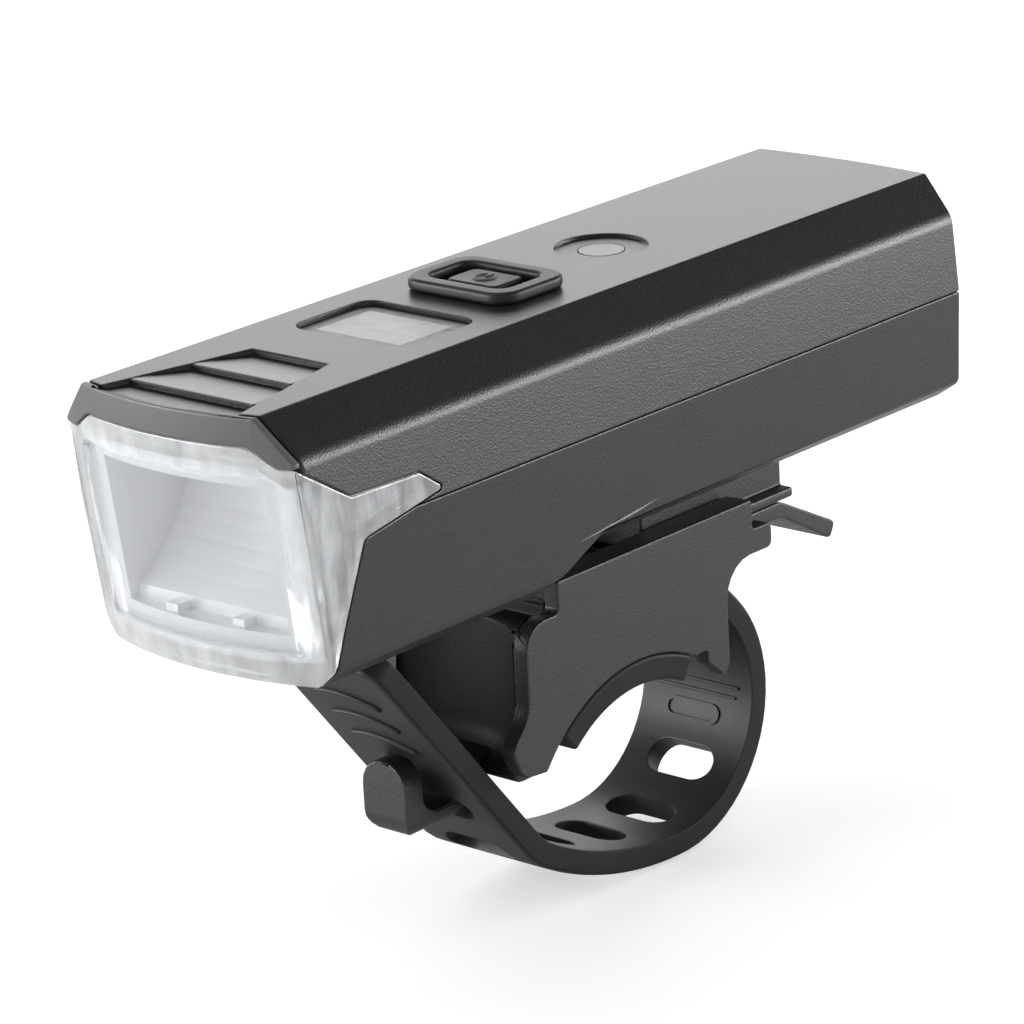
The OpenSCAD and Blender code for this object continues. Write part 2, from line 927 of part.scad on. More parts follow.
module display_module() {
    color("#20303a")
    lamp_frame()
        translate([0, window_y, 0])
            rounded_block(display_w, display_l, 0.4, -board_drop + seat_gap, -display_top);
}

module display_window() {
    color("#8f979b")
    lamp_frame()
        translate([0, window_y, 0])
            rounded_block(window_w, window_l, 1.75, -window_drop - window_t, -window_drop);
}

guide_foot = 0.9;
guide_lip = 0.7;
sensor_w = 3;
sensor_h = 1;

module sensor_window() {
    color("#d9dde0")
    lamp_frame()
        translate([0, dish_y, 0]) {
            translate([0, 0, -wall - guide_foot])
                cylinder(r = guide_r, h = wall + guide_foot - dish_depth);
            translate([0, 0, -wall - guide_foot])
                cylinder(r = guide_r + guide_lip, h = guide_foot - seat_gap);
        }
}

module light_sensor() {
    color("#2b2b30")
    lamp_frame()
        translate([0, dish_y, 0])
            rounded_block(sensor_w, sensor_w, 0.3, -board_drop + seat_gap, -board_drop + sensor_h);
}

module battery_cell() {
    color("#3f6fa8")
    lamp_frame()
        translate([0, cell_front, -cell_drop])
            rotate([-90, 0, 0])
                cylinder(r = cell_r, h = cell_len);
}

strip_half = 3.5;

module battery_tabs() {
    color("#b9b6ac")
    lamp_frame() {
        block(strip_half, cell_front - seat_gap - tab_strip, cell_front - seat_gap, -cell_drop - 4, -board_drop - board_t - seat_gap);
        block(strip_half, cell_back + seat_gap, cell_back + seat_gap + tab_strip, -cell_drop - 4, -board_drop - board_t - seat_gap);
    }
}

can_t = 0.35;
tongue_root = 1;

module charge_socket() {
    color("#b4b7ba")
    lamp_frame()
        translate([0, socket_front, -port_drop])
            rotate([-90, 0, 0]) {
                difference() {
                    rounded_block(socket_w, socket_h, 1.3, 0, socket_len - 2 * seat_gap);
                    rounded_block(socket_w - 2 * can_t, socket_h - 2 * can_t, 1, tongue_root + 0.2, socket_len + 1);
                }
                rounded_block(socket_w - 2.4, 2 * can_t, 0.1, tongue_root, socket_len - 0.8);
            }
}

plug_len = 1.2;
plug_gap = 0.1;

module port_cover() {
    color("#232425")
    lamp_frame() {
        difference() {
            block(cover_w / 2, cover_floor + slide_gap, cover_floor + slide_gap + cover_t, -bead_drop, -cover_top);
            translate([0, 0, -bead_drop])
                block(far, bead_y - far, bead_y - 0.3, -far, bead_r + slide_gap);
        }
        translate([0, bead_y, -bead_drop])
            bar_rod(bead_r, cover_w / 2);
        translate([0, cover_floor - plug_len + slide_gap, -port_drop])
            rotate([-90, 0, 0])
                rounded_block(socket_w - 0.5, socket_h - 0.5, 1.1, 0, plug_len + plug_gap);
    }
}

module case_screws() {
    color("#8a8d90")
    lamp_frame()
        at_case_screws()
            difference() {
                case_screw(0);
                translate([0, 0, -head_z - head_h])
                    cylinder(r = 1, h = 1.2, $fn = 6, center = true);
            }
}

// Slide rail with the groove for the latch tooth
tooth_half = 3;
tooth_y = 22.4;
tooth_len = 2.4;

module slide_rail() {
    color("#303235")
    lamp_frame() {
        difference() {
            union() {
                block(neck_half, rail_front, rail_front + rail_len, -flange_bottom, -belly_drop - seat_gap);
                block(flange_half, rail_front, rail_front + rail_len, -flange_bottom, -flange_top);
            }
            block(tooth_half + slide_gap, bar_back + tooth_y - slide_gap, 3 * far,
                -flange_bottom - 1, -flange_bottom + tooth_h);
            at_rail_screws()
                rail_screw(run_gap);
        }
    }
}

module rail_screws() {
    color("#8a8d90")
    lamp_frame()
        at_rail_screws()
            difference() {
                rail_screw(0);
                translate([0, 0, -belly_drop + wall])
                    cylinder(r = 0.9, h = 1, $fn = 6, center = true);
            }
}

// Bracket, drawn round the handlebar axis
lug_y = 22.7;
lug_bottom = 24.8;
lug_drop = 0.4;
rear_edge = 14.9;
front_edge = -17.4;
slit_front = 9.4;
slit_top = 16.4;
prong_y = 11.2;
prong_bottom = 12.7;
brow_top = tongue_top - 0.5;
foot_top = 14.9;
foot_front = -20.3;
foot_low = 12;
foot_back = -14.4;
toe_in = 1.6;
web_in = 0.3;
web_drop = 1.6;
plate_sink = 0.3;
lip_in = 0.4;

module bracket_plate() {
    translate([channel_half - plate_sink, 0, 0])
        rotate([90, 0, 90])
            linear_extrude(plate_t + plate_sink)
                polygon(rounded([
                    [slit_front, 10, 0],
                    [slit_front, slit_top, 0.4],
                    [prong_y, slit_top, 0.4],
                    [prong_y, prong_bottom, 1.4],
                    [rear_edge, prong_bottom, 1.8],
                    [rear_edge, lug_bottom, 4],
                    [lug_y, lug_bottom, 0.8],
                    [lug_y, tongue_top - lug_drop, 0.8],
                    [channel_rear, tongue_top - lug_drop, 0.4],
                    [channel_rear, plate_top, lip_in],
                    [channel_front, plate_top, lip_in],
                    [channel_front, brow_top, 0.6],
                    [front_edge, brow_top, 3],
                    [front_edge, foot_top + 3.1, 4],
                    [foot_front, foot_top, 1.6],
                    [foot_front + toe_in, foot_low - 0.5, 2.2],
                    [foot_back, foot_low - 0.9, 1],
                    [foot_back + 2, foot_low + 1.2, 0],
                    [foot_back + 3.4, 10, 0]]));
}

module saddle_sector(r, half, a_front, a_back) {
    intersection() {
        bar_rod(r, half);
        across(2 * half)
            polygon([
                [0, 0],
                [far * sin(a_back), far * cos(a_back)],
                [0, far],
                [-far * sin(a_front), far * cos(a_front)]]);
    }
}

module bracket() {
    color("#2c2d30") {
        difference() {
            union() {
                both_sides() {
                    bracket_plate();
                    translate([channel_half - lip_reach, channel_front + lip_in, lip_bottom])
                        cube([lip_reach + 0.1, channel_rear - channel_front - 2 * lip_in, lip_h]);
                }
                block(channel_half, channel_front, pivot_y + 0.9, floor_bottom, tongue_top - 0.02);
                saddle_sector(saddle_r + saddle_t, channel_half, saddle_front, saddle_back);
                front_web();
                translate([0, anchor[0], anchor[1]])
                    bar_rod(anchor_r, channel_half);
                hook();
            }
            bar_rod(saddle_r + seat_gap, far);
            translate([0, pivot_y, pivot_z])
                bar_rod(pivot_r + run_gap, channel_half);
            block(channel_half, pivot_y, pivot_y + 5, pivot_z - 0.95, lip_bottom - 0.2);
        }
    }
}

lip_reach = channel_half - neck_half - slide_gap;

module front_web() {
    difference() {
        across(channel_half)
            polygon(rounded([
                [foot_back + 2.9, foot_low + 2.4, 0],
                [foot_back + 2.9, brow_top - 0.9, 0],
                [front_edge + web_in, brow_top - 0.9, 1],
                [front_edge + web_in, foot_top + 1.1, 2],
                [foot_front + toe_in, foot_top - 0.9, 0.8],
                [foot_front + toe_in + 0.6, foot_low - web_drop, 1.2],
                [foot_back, foot_low - web_drop, 0]]));
        translate([0, front_edge - scoop_r + scoop_depth, scoop_floor])
            rotate_extrude($fn = 128)
                polygon(rounded([
                    [0, 0, 0],
                    [scoop_r, 0, scoop_round],
                    [scoop_r, far, 0],
                    [0, far, 0]]));
    }
}

scoop_r = 15;
scoop_depth = 2.6;
scoop_floor = foot_low - web_drop + 0.6;
scoop_round = 4;
hook_bottom = -1.93;
hook_tip = 6.47;
hook_arm = 2.8;
hook_round = 0.72 * hook_half;
hook_arch = 0.96 * hook_half;

module hook() {
    hung = strap_at(first_slot + (slot_count - 1) * slot_pitch);
    hook_front = hung[0] - 9.27;
    intersection() {
        across(hook_half)
            polygon(rounded([
                [hook_front, hung[1] + hook_bottom, 2.6],
                [hung[0] - 1.77, hung[1] + hook_bottom, 2],
                [hung[0] + 2.23, hung[1] + 1.07, 1],
                [foot_back - 0.2, foot_low + 0.6, 0],
                [foot_back - 1.6, foot_low + 0.6, 0],
                [foot_back - 3.4, foot_low + 0.2, 1],
                [hung[0] - 2.27, hung[1] + 0.47, 1.3],
                [hook_front + hook_arm, hung[1] + 0.37, 1.9],
                [hook_front + hook_arm - 0.1, hung[1] + hook_tip, 0.3],
                [hook_front, hung[1] + hook_tip, 0.3]]));
        along(hook_front - 1, 0)
            polygon(rounded(mirrored([
                [hook_half, hung[1] + hook_bottom, hook_round],
                [hook_half, hung[1] + hook_tip, hook_arch]])));
    }
}

module release_tongue() {
    color("#36383b") {
        translate([0, pivot_y, pivot_z])
            bar_rod(pivot_r, tongue_half);
        across(tongue_half)
            polygon(rounded([
                [pivot_y, pivot_z - 0.7, 0],
                [tongue_bend, tongue_top - tongue_t, 4],
                [tongue_bend + thumb_len * cos(thumb_slope),
                    tongue_top - tongue_t - thumb_len * sin(thumb_slope), 0.5],
                [tongue_bend + thumb_len * cos(thumb_slope) + 0.9,
                    tongue_top - thumb_len * sin(thumb_slope), 0.6],
                [tongue_bend, tongue_top, 4],
                [pivot_y + 2, tongue_top, 0.3],
                [pivot_y, pivot_z + 0.7, 0]]));
        block(tooth_half, tooth_y, tooth_y + tooth_len, tongue_top - 0.1, tongue_top + tooth_h - slide_gap);
    }
}

module saddle_pad() {
    color("#1a1b1c")
    difference() {
        saddle_sector(saddle_r, plate_half, saddle_front, saddle_back);
        bar_rod(bar_r, far);
    }
}

// Strap, followed from the anchor bar to the pull tab
strap_heading = -45.25;
strap_legs = [
    [0, anchor_run],
    [rear_bend, 44.75],
    [rear_bend, 90],
    [under_bend, 30.2],
    [front_bend, 20.6],
    [0, tab_len]];
strap_start = anchor + (eye_r - strap_t / 2) * [-sin(strap_heading), cos(strap_heading)];
function leg_len(leg) = leg[0] == 0 ? leg[1] : leg[0] * leg[1] * PI / 180;
function leg_at(p, leg, s) =
    leg[0] == 0 ? [p[0] + s * cos(p[2]), p[1] + s * sin(p[2]), p[2]] :
    let (h = p[2] - s / leg[0] * 180 / PI)
    [p[0] + leg[0] * (sin(p[2]) - sin(h)), p[1] + leg[0] * (cos(h) - cos(p[2])), h];
function strap_at(s, p = [strap_start[0], strap_start[1], strap_heading], i = 0) =
    s <= leg_len(strap_legs[i]) || i == len(strap_legs) - 1 ? leg_at(p, strap_legs[i], s) :
    strap_at(s - leg_len(strap_legs[i]), leg_at(p, strap_legs[i], leg_len(strap_legs[i])), i + 1);
function strap_length(i = 0) =
    i == len(strap_legs) ? 0 : leg_len(strap_legs[i]) + strap_length(i + 1);
function strap_side(s, d) =
    let (p = strap_at(s)) [p[0] - d * sin(p[2]), p[1] + d * cos(p[2])];
strap_steps = 66;
strap_end = strap_length();
slot_count = 6;

module strap() {
    color("#242527")
    difference() {
        union() {
            across(strap_half)
                polygon(concat(
                    [for (i = [0 : strap_steps]) strap_side(strap_end * i / strap_steps, strap_t / 2)],
                    [for (i = [strap_steps : -1 : 0]) strap_side(strap_end * i / strap_steps, -strap_t / 2)]));
            translate([0, anchor[0], anchor[1]])
                bar_rod(eye_r, strap_half);
        }
        translate([0, anchor[0], anchor[1]])
            bar_rod(anchor_r + run_gap, far);
        for (i = [0 : slot_count - 1]) {
            p = strap_at(first_slot + i * slot_pitch);
            translate([0, p[0], p[1]])
                rotate([p[2], 0, 0])
                    rounded_block(slot_w, slot_l, slot_l / 2 - 0.05, -3, 3);
        }
    }
}

upper_shell();
visor();
lower_shell();
shell_seal();
clear_lens();
lens_gasket();
reflector();
led_emitter();
led_board();
heat_sink();
main_board();
tact_switch();
button_bezel();
button_cap();
display_module();
display_window();
sensor_window();
light_sensor();
battery_cell();
battery_tabs();
charge_socket();
port_cover();
case_screws();
slide_rail();
rail_screws();
bracket();
release_tongue();
saddle_pad();
strap();
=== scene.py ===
"""Bike headlight on its handlebar bracket: surfaces, soft pieces and studio."""

import math

import bmesh
import bpy
from bpy.props import FloatProperty, FloatVectorProperty, PointerProperty
from mathutils import Matrix, Vector
from mathutils.bvhtree import BVHTree


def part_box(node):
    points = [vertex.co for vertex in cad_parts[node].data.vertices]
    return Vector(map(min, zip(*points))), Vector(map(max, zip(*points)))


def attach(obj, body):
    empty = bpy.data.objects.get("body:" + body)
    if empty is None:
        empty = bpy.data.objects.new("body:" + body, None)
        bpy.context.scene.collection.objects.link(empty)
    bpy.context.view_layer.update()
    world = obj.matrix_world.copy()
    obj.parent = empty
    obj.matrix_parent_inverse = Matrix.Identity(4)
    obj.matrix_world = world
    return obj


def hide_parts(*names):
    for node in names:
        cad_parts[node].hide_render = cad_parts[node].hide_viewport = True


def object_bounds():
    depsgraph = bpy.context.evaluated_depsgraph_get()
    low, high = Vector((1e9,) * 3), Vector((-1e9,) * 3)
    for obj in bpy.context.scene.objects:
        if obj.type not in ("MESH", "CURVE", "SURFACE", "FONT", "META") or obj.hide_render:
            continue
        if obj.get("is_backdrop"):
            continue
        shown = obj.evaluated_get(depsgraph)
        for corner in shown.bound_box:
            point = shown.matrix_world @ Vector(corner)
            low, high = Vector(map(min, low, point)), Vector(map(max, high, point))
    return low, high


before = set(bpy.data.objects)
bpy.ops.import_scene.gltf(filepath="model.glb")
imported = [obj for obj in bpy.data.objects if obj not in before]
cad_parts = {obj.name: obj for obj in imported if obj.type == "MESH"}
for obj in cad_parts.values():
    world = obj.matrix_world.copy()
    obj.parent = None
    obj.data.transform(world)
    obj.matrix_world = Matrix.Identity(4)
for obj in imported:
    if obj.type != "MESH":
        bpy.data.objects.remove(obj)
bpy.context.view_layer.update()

bl_info = {
    "name": "Bike headlight",
    "version": (1, 0, 0),
    "blender": (4, 5, 0),
    "location": "View3D > Sidebar > Headlight",
    "description": "Builds the surfaces and soft pieces of a bike headlight",
    "category": "Object",
}

MM = 0.001

# Metres within which vertices are merged, or count as level
MERGE = 2e-6
SLIVER_MERGE = 8e-5
BRACKET_MERGE = 3e-5
TINY = 1e-6

# Degrees: faces that are one flat, edges that are rounded, and edges that stay smooth
FLAT_ANGLE = 0.6
EDGE_ANGLE = 33.0
BRACKET_ANGLE = 52.0
STRAP_ANGLE = 40.0
SMOOTH_ANGLE = 35.0

# How far a rounded edge may lie off its solid, as a share of its width
STRAY = 0.6

# Where the sides of the lower shell's deep front run out
SLIVER_Y = 0.01 * MM
SLIVER_SIDE = 15.3 * MM
SLIVER_TOP = 38.0 * MM

PANE_EDGE = 0.1 * MM
SEAL_EDGE = 0.12 * MM
PANE_TONE = (0.016, 0.016, 0.017)

# Where most of a grey noise lies
NOISE_LOW = 0.3
NOISE_HIGH = 0.7

# Specular level of a shader that nothing dulls
PLAIN_SPECULAR = 0.5

# Reach of the rubbing at edges, and softness of the borders of masks
RUB_REACH = 0.4 * MM
MASK_SOFT = 0.06 * MM
FIELD_SOFT = 0.8 * MM


# Sizes and colours


def length(name, description, default):
    """A length that the user may change, in metres."""
    return FloatProperty(
        name=name,
        description=description,
        default=default,
        min=0.0,
        precision=5,
        unit="LENGTH",
    )


def colour(name, description, default):
    """A colour that the user may change."""
    return FloatVectorProperty(
        name=name,
        description=description,
        default=default,
        min=0.0,
        max=1.0,
        size=3,
        subtype="COLOR",
    )


class HeadlightSizes(bpy.types.PropertyGroup):
    """Lengths of the rounded edges and of the moulded details."""

    shell_edge: length("Shell edge", "Rounding of the housing's edges", 0.00022)
    bracket_edge: length("Bracket edge", "Rounding of the bracket's edges", 0.0003)
    lens_edge: length("Lens edge", "Rounding of the lens's edges", 0.0003)
    rubber_edge: length("Rubber edge", "Rounding of the rubber pieces", 0.0004)
    strap_chamfer: length("Strap chamfer", "Chamfer along the strap's outer edges", 0.0003)
    ridge_height: length("Ridge height", "Height of the grip ridges on the tab", 0.0004)
    mark_height: length("Mark height", "Height of the moulded marks in the strap", 0.00022)
    icon_radius: length("Icon radius", "Radius of the power sign on the button", 0.0011)
    screen_width: length("Screen width", "Lit part of the display across the lamp", 0.0112)
    screen_length: length("Screen length", "Lit part of the display along the lamp", 0.0077)


class HeadlightColours(bpy.types.PropertyGroup):
    """Colours of the finishes."""

    shell: colour("Shell", "Grained plastic of the housing", (0.016, 0.016, 0.017))
    visor: colour("Visor", "Satin plastic of the visor", (0.11, 0.111, 0.112))
    bracket: colour("Bracket", "Grained plastic of the bracket", (0.024, 0.024, 0.0245))
    rubber: colour("Rubber", "Rubber of the strap, pad and button", (0.014, 0.0142, 0.0142))
    lens: colour("Lens", "Clear plastic of the lens", (0.97, 0.985, 1.0))
    mirror: colour("Mirror", "Metallised reflector", (0.96, 0.96, 0.965))
    screen: colour("Screen", "Resting display", (0.34, 0.34, 0.335))
    guide: colour("Guide", "Light guide of the sensor", (0.36, 0.36, 0.355))
    icon: colour("Icon", "Power sign on the button", (0.09, 0.09, 0.09))
    floor: colour("Floor", "Studio floor", (0.8, 0.8, 0.8))


# Modelling helpers


def clear_pick():
    """Leaves edit mode with nothing selected."""
    if bpy.context.mode != "OBJECT":
        bpy.ops.object.mode_set(mode="OBJECT")
    bpy.ops.object.select_all(action="DESELECT")


def pick(*objs):
    """Selects these objects alone; the first is the active one."""
    clear_pick()
    for obj in objs:
        obj.select_set(True)
    bpy.context.view_layer.objects.active = objs[0]


def edit(obj):
    """Opens a mesh for editing with everything selected."""
    pick(obj)
    bpy.ops.object.mode_set(mode="EDIT")
    bpy.ops.mesh.select_mode(type="VERT")
    bpy.ops.mesh.select_all(action="SELECT")


def done():
    """Closes edit mode."""
    bpy.ops.object.mode_set(mode="OBJECT")


def choose(obj, kind, test):
    """In edit mode, selects the vertices, edges or faces that pass the test."""
    bpy.ops.mesh.select_mode(type=kind)
    bpy.ops.mesh.select_all(action="DESELECT")
    mesh = bmesh.from_edit_mesh(obj.data)
    items = {"VERT": mesh.verts, "EDGE": mesh.edges, "FACE": mesh.faces}[kind]
    found = [item for item in items if test(item)]
    if not found:
        raise RuntimeError("nothing to select on " + obj.name)
    for item in found:
        item.select_set(True)
    mesh.select_flush_mode()
    bmesh.update_edit_mesh(obj.data)


def use(obj, kind, **settings):
    """Adds a modifier and applies it."""
    pick(obj)
    modifier = obj.modifiers.new(kind.title(), kind)
    for name, value in settings.items():
        setattr(modifier, name, value)
    bpy.ops.object.modifier_apply(modifier=modifier.name)


def box(name, low, high):
    """A box between two corners, with its place in its mesh."""
    clear_pick()
    low, high = Vector(low), Vector(high)
    bpy.ops.mesh.primitive_cube_add(size=1, location=(low + high) / 2, scale=high - low)
    obj = bpy.context.object
    obj.name = name
    bpy.ops.object.transform_apply(location=True, rotation=True, scale=True)
    return obj


def rod(name, radius, depth, centre, turn, vertices=48):
    """A cylinder with its place in its mesh."""
    clear_pick()
    bpy.ops.mesh.primitive_cylinder_add(
        radius=radius, depth=depth, location=centre, rotation=turn, vertices=vertices
    )
    obj = bpy.context.object
    obj.name = name
    bpy.ops.object.transform_apply(location=True, rotation=True, scale=True)
    return obj


def copy_of(node, name, merge=MERGE):
    """A merged copy of a CAD solid, with its flat faces whole again."""
    clear_pick()
    bpy.ops.mesh.primitive_cube_add(size=1)
    obj = bpy.context.object
    obj.name = name
    obj.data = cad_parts[node].data.copy()
    obj.data.materials.clear()
    bpy.ops.mesh.customdata_custom_splitnormals_clear()
    edit(obj)
    bpy.ops.mesh.remove_doubles(threshold=merge)
    bpy.ops.mesh.dissolve_limited(angle_limit=math.radians(FLAT_ANGLE))
    done()
    return obj


def settle(obj, node_name, reach):
    """Lays vertices that a bevel threw off a CAD solid back on its surface."""
    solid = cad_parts[node_name].data
    corners = [vertex.co for vertex in solid.vertices]
    skin = BVHTree.FromPolygons(corners, [face.vertices for face in solid.polygons])
    for vertex in obj.data.vertices:
        near, _, _, off = skin.find_nearest(vertex.co)
        if off > reach:
            vertex.co = near


def round_edges(obj, width, segments=2, angle=EDGE_ANGLE, node_name=None):
    """Rounds the sharp edges of a mesh, and keeps a copy of a CAD solid close to it."""
    use(
        obj,
        "BEVEL",
        width=width,
        segments=segments,
        limit_method="ANGLE",
        angle_limit=math.radians(angle),
        use_clamp_overlap=False,
        miter_outer="MITER_SHARP",
    )
    if node_name is not None:
        settle(obj, node_name, width * STRAY)
    edit(obj)
    bpy.ops.mesh.remove_doubles(threshold=MERGE)
    bpy.ops.mesh.dissolve_degenerate(threshold=MERGE)
    done()


def join(*objs):
    """Joins meshes into the first one."""
    pick(*objs)
    bpy.ops.object.join()
    return objs[0]


def cut(obj, cutter):
    """Takes the cutter out of the mesh and deletes the cutter."""
    use(obj, "BOOLEAN", operation="DIFFERENCE", solver="EXACT", object=cutter)
    pick(cutter)
    bpy.ops.object.delete()


def finish_piece(obj, body, slot, material, *nodes, angle=SMOOTH_ANGLE):
    """Shades a piece, gives it its finish and hangs it on its body."""
    pick(obj)
    bpy.ops.object.shade_smooth_by_angle(angle=math.radians(angle))
    use(obj, "WEIGHTED_NORMAL", keep_sharp=True)
    if material is not None:
        obj.data.materials.clear()
        obj.data.materials.append(material)
    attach(obj, body)
    if nodes:
        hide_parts(*nodes)
    return obj


def dress(node, material):
    """Gives a CAD solid that stays its finish."""
    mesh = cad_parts[node].data
    mesh.materials.clear()
    mesh.materials.append(material)


# Material helpers


def fresh(name):
    """A new node material and its main shader."""
    material = bpy.data.materials.new(name)
    material.use_nodes = True
    tree = material.node_tree
    return material, tree, tree.nodes["Principled BSDF"]


def node(tree, kind, **settings):
    """A shader node with its settings."""
    made = tree.nodes.new("ShaderNode" + kind)
    for name, value in settings.items():
        setattr(made, name, value)
    return made


def feed(tree, socket, value):
    """Links a socket, or sets it."""
    if isinstance(value, bpy.types.NodeSocket):
        tree.links.new(value, socket)
    else:
        socket.default_value = value


def place(tree):
    """Object coordinates."""
    return node(tree, "TexCoord").outputs["Object"]


def stretched(tree, where, scale):
    """Coordinates scaled along each axis."""
    made = node(tree, "Mapping")
    feed(tree, made.inputs["Vector"], where)
    made.inputs["Scale"].default_value = scale
    return made.outputs["Vector"]


def noise(tree, where, scale, detail=2.0, roughness=0.5):
    """Grey noise of a given fineness, in cells per metre."""
    made = node(tree, "TexNoise")
    feed(tree, made.inputs["Vector"], where)
    made.inputs["Scale"].default_value = scale
    made.inputs["Detail"].default_value = detail
    made.inputs["Roughness"].default_value = roughness
    return made.outputs["Fac"]


def cells(tree, where, scale, smooth=0.6):
    """Soft cells of a given fineness, in cells per metre."""
    made = node(tree, "TexVoronoi", feature="SMOOTH_F1")
    feed(tree, made.inputs["Vector"], where)
    made.inputs["Scale"].default_value = scale
    made.inputs["Smoothness"].default_value = smooth
    return made.outputs["Distance"]


def spread(tree, value, low, high, to_low=0.0, to_high=1.0):
    """Maps a value from one range to another."""
    made = node(tree, "MapRange")
    feed(tree, made.inputs["Value"], value)
    made.inputs["From Min"].default_value = low
    made.inputs["From Max"].default_value = high
    made.inputs["To Min"].default_value = to_low
    made.inputs["To Max"].default_value = to_high
    return made.outputs["Result"]


def maths(tree, operation, a, b=0.0):
    """A sum, product or comparison."""
    made = node(tree, "Math", operation=operation)
    feed(tree, made.inputs[0], a)
    feed(tree, made.inputs[1], b)
    return made.outputs[0]


def blend_colour(tree, factor, a, b):
    """Mixes two colours."""
    made = node(tree, "Mix", data_type="RGBA")
    feed(tree, made.inputs["Factor"], factor)
    for socket, value in zip((made.inputs[6], made.inputs[7]), (a, b)):
        if isinstance(value, bpy.types.NodeSocket):
            tree.links.new(value, socket)
        else:
            socket.default_value = (*value, 1.0)
    return made.outputs[2]


def bump(tree, shader, height, strength, distance):
    """Adds relief to a shader."""
    made = node(tree, "Bump")
    made.inputs["Strength"].default_value = strength
    made.inputs["Distance"].default_value = distance
    feed(tree, made.inputs["Height"], height)
    feed(tree, shader.inputs["Normal"], made.outputs["Normal"])


def edge_mask(tree, radius, uneven):
    """Rubbed edges: where the rounded normal turns away from the face."""
    soft = node(tree, "Bevel", samples=2)
    soft.inputs["Radius"].default_value = radius
    true = node(tree, "NewGeometry")
    made = node(tree, "VectorMath", operation="DOT_PRODUCT")
    feed(tree, made.inputs[0], soft.outputs["Normal"])
    feed(tree, made.inputs[1], true.outputs["Normal"])
    mask = spread(tree, made.outputs["Value"], 0.995, 0.82)
    return maths(tree, "MULTIPLY", mask, uneven)


def shade(tone, factor):
    """A lighter or darker tone of a colour."""
    return tuple(min(1.0, c * factor) for c in tone)


def facing(tree, axis, low, high):
    """1 on faces that look along an axis as far as high, 0 on those short of low."""
    parts = node(tree, "SeparateXYZ")
    feed(tree, parts.inputs[0], node(tree, "NewGeometry").outputs["Normal"])
    return spread(tree, parts.outputs[axis], low, high)


def facing_sides(tree):
    """1 on faces that look left or right, 0 on the others."""
    return maths(tree, "MAXIMUM", facing(tree, 0, 0.6, 0.95), facing(tree, 0, -0.6, -0.95))


def moulded(name, tone, rough, grain, depth, wear, ior=1.55, calm=0.0, front=None, recess=None):
    """Moulded plastic: spark grain, cloudy gloss and rubbed edges.

    Level tops may be calmer; faces to the front, or inside a recess, get a lower specular level,
    painted shade that renders them darker.
    """
    material, tree, shader = fresh(name)
    where = place(tree)
    cloud = noise(tree, where, 70.0, 3.0)
    fine = noise(tree, where, grain, 3.0, 0.6)
    pits = cells(tree, where, grain * 0.75)
    body = blend_colour(tree, cloud, shade(tone, 0.8), shade(tone, 1.2))
    if wear > 0.0:
        uneven = spread(tree, noise(tree, where, 400.0), 0.35, 0.7, 0.0, wear)
        rub = edge_mask(tree, RUB_REACH, uneven)
        body = blend_colour(tree, rub, body, shade(tone, 5.0))
    feed(tree, shader.inputs["Base Color"], body)
    gloss = spread(tree, fine, NOISE_LOW, NOISE_HIGH, rough - 0.06, rough + 0.08)
    feed(tree, shader.inputs["Roughness"], gloss)
    height = maths(tree, "ADD", maths(tree, "MULTIPLY", fine, 0.6), pits)
    if calm > 0.0:
        level = spread(tree, facing(tree, 2, 0.9, 0.98), 0.0, 1.0, 1.0, 1.0 - calm)
        height = maths(tree, "MULTIPLY", height, level)
    bump(tree, shader, height, 1.0, depth)
    # Painted shade: a lower specular level darkens front faces, or the bracket's recess
    if front is not None:
        dull = shaded_recess(tree, where, *recess) if recess else facing(tree, 1, -0.7, -0.95)
        shine = spread(tree, dull, 0.0, 1.0, PLAIN_SPECULAR, front)
        feed(tree, shader.inputs["Specular IOR Level"], shine)
    shader.inputs["IOR"].default_value = ior
    return material


def rubbery(name, tone, rough, dull=None):
    """Moulded rubber: fine matt skin, faint flow marks and bloom; cut sides may be dull."""
    material, tree, shader = fresh(name)
    where = place(tree)
    cloud = noise(tree, where, 55.0, 4.0, 0.6)
    fine = noise(tree, where, 5200.0, 2.0)
    bloom = spread(tree, noise(tree, where, 160.0, 5.0, 0.65), 0.45, 0.75)
    body = blend_colour(tree, cloud, shade(tone, 0.75), shade(tone, 1.3))
    body = blend_colour(tree, maths(tree, "MULTIPLY", bloom, 0.25), body, shade(tone, 2.6))
    feed(tree, shader.inputs["Base Color"], body)
    gloss = spread(tree, cloud, NOISE_LOW, NOISE_HIGH, rough - 0.06, rough + 0.08)
    feed(tree, shader.inputs["Roughness"], gloss)
    height = maths(tree, "ADD", fine, maths(tree, "MULTIPLY", cloud, 2.0))
    bump(tree, shader, height, 0.6, 0.00001)
    if dull is not None:
        shine = spread(tree, facing_sides(tree), 0.0, 1.0, PLAIN_SPECULAR, dull)
        feed(tree, shader.inputs["Specular IOR Level"], shine)
    shader.inputs["IOR"].default_value = 1.52
    return material


def metal(name, tone, rough, drawn=False):
    """Bare metal with cloudy gloss and, where asked, drawn lines."""
    material, tree, shader = fresh(name)
    where = place(tree)
    cloud = noise(tree, where, 220.0, 3.0)
    body = blend_colour(tree, cloud, shade(tone, 0.88), shade(tone, 1.08))
    feed(tree, shader.inputs["Base Color"], body)
    lines = cloud
    if drawn:
        lines = noise(tree, stretched(tree, where, (1.0, 0.04, 1.0)), 3200.0, 2.0)
    gloss = spread(tree, lines, NOISE_LOW, NOISE_HIGH, rough * 0.75, rough * 1.3)
    feed(tree, shader.inputs["Roughness"], gloss)
    bump(tree, shader, lines, 0.3, 0.000004)
    shader.inputs["Metallic"].default_value = 1.0
    return material


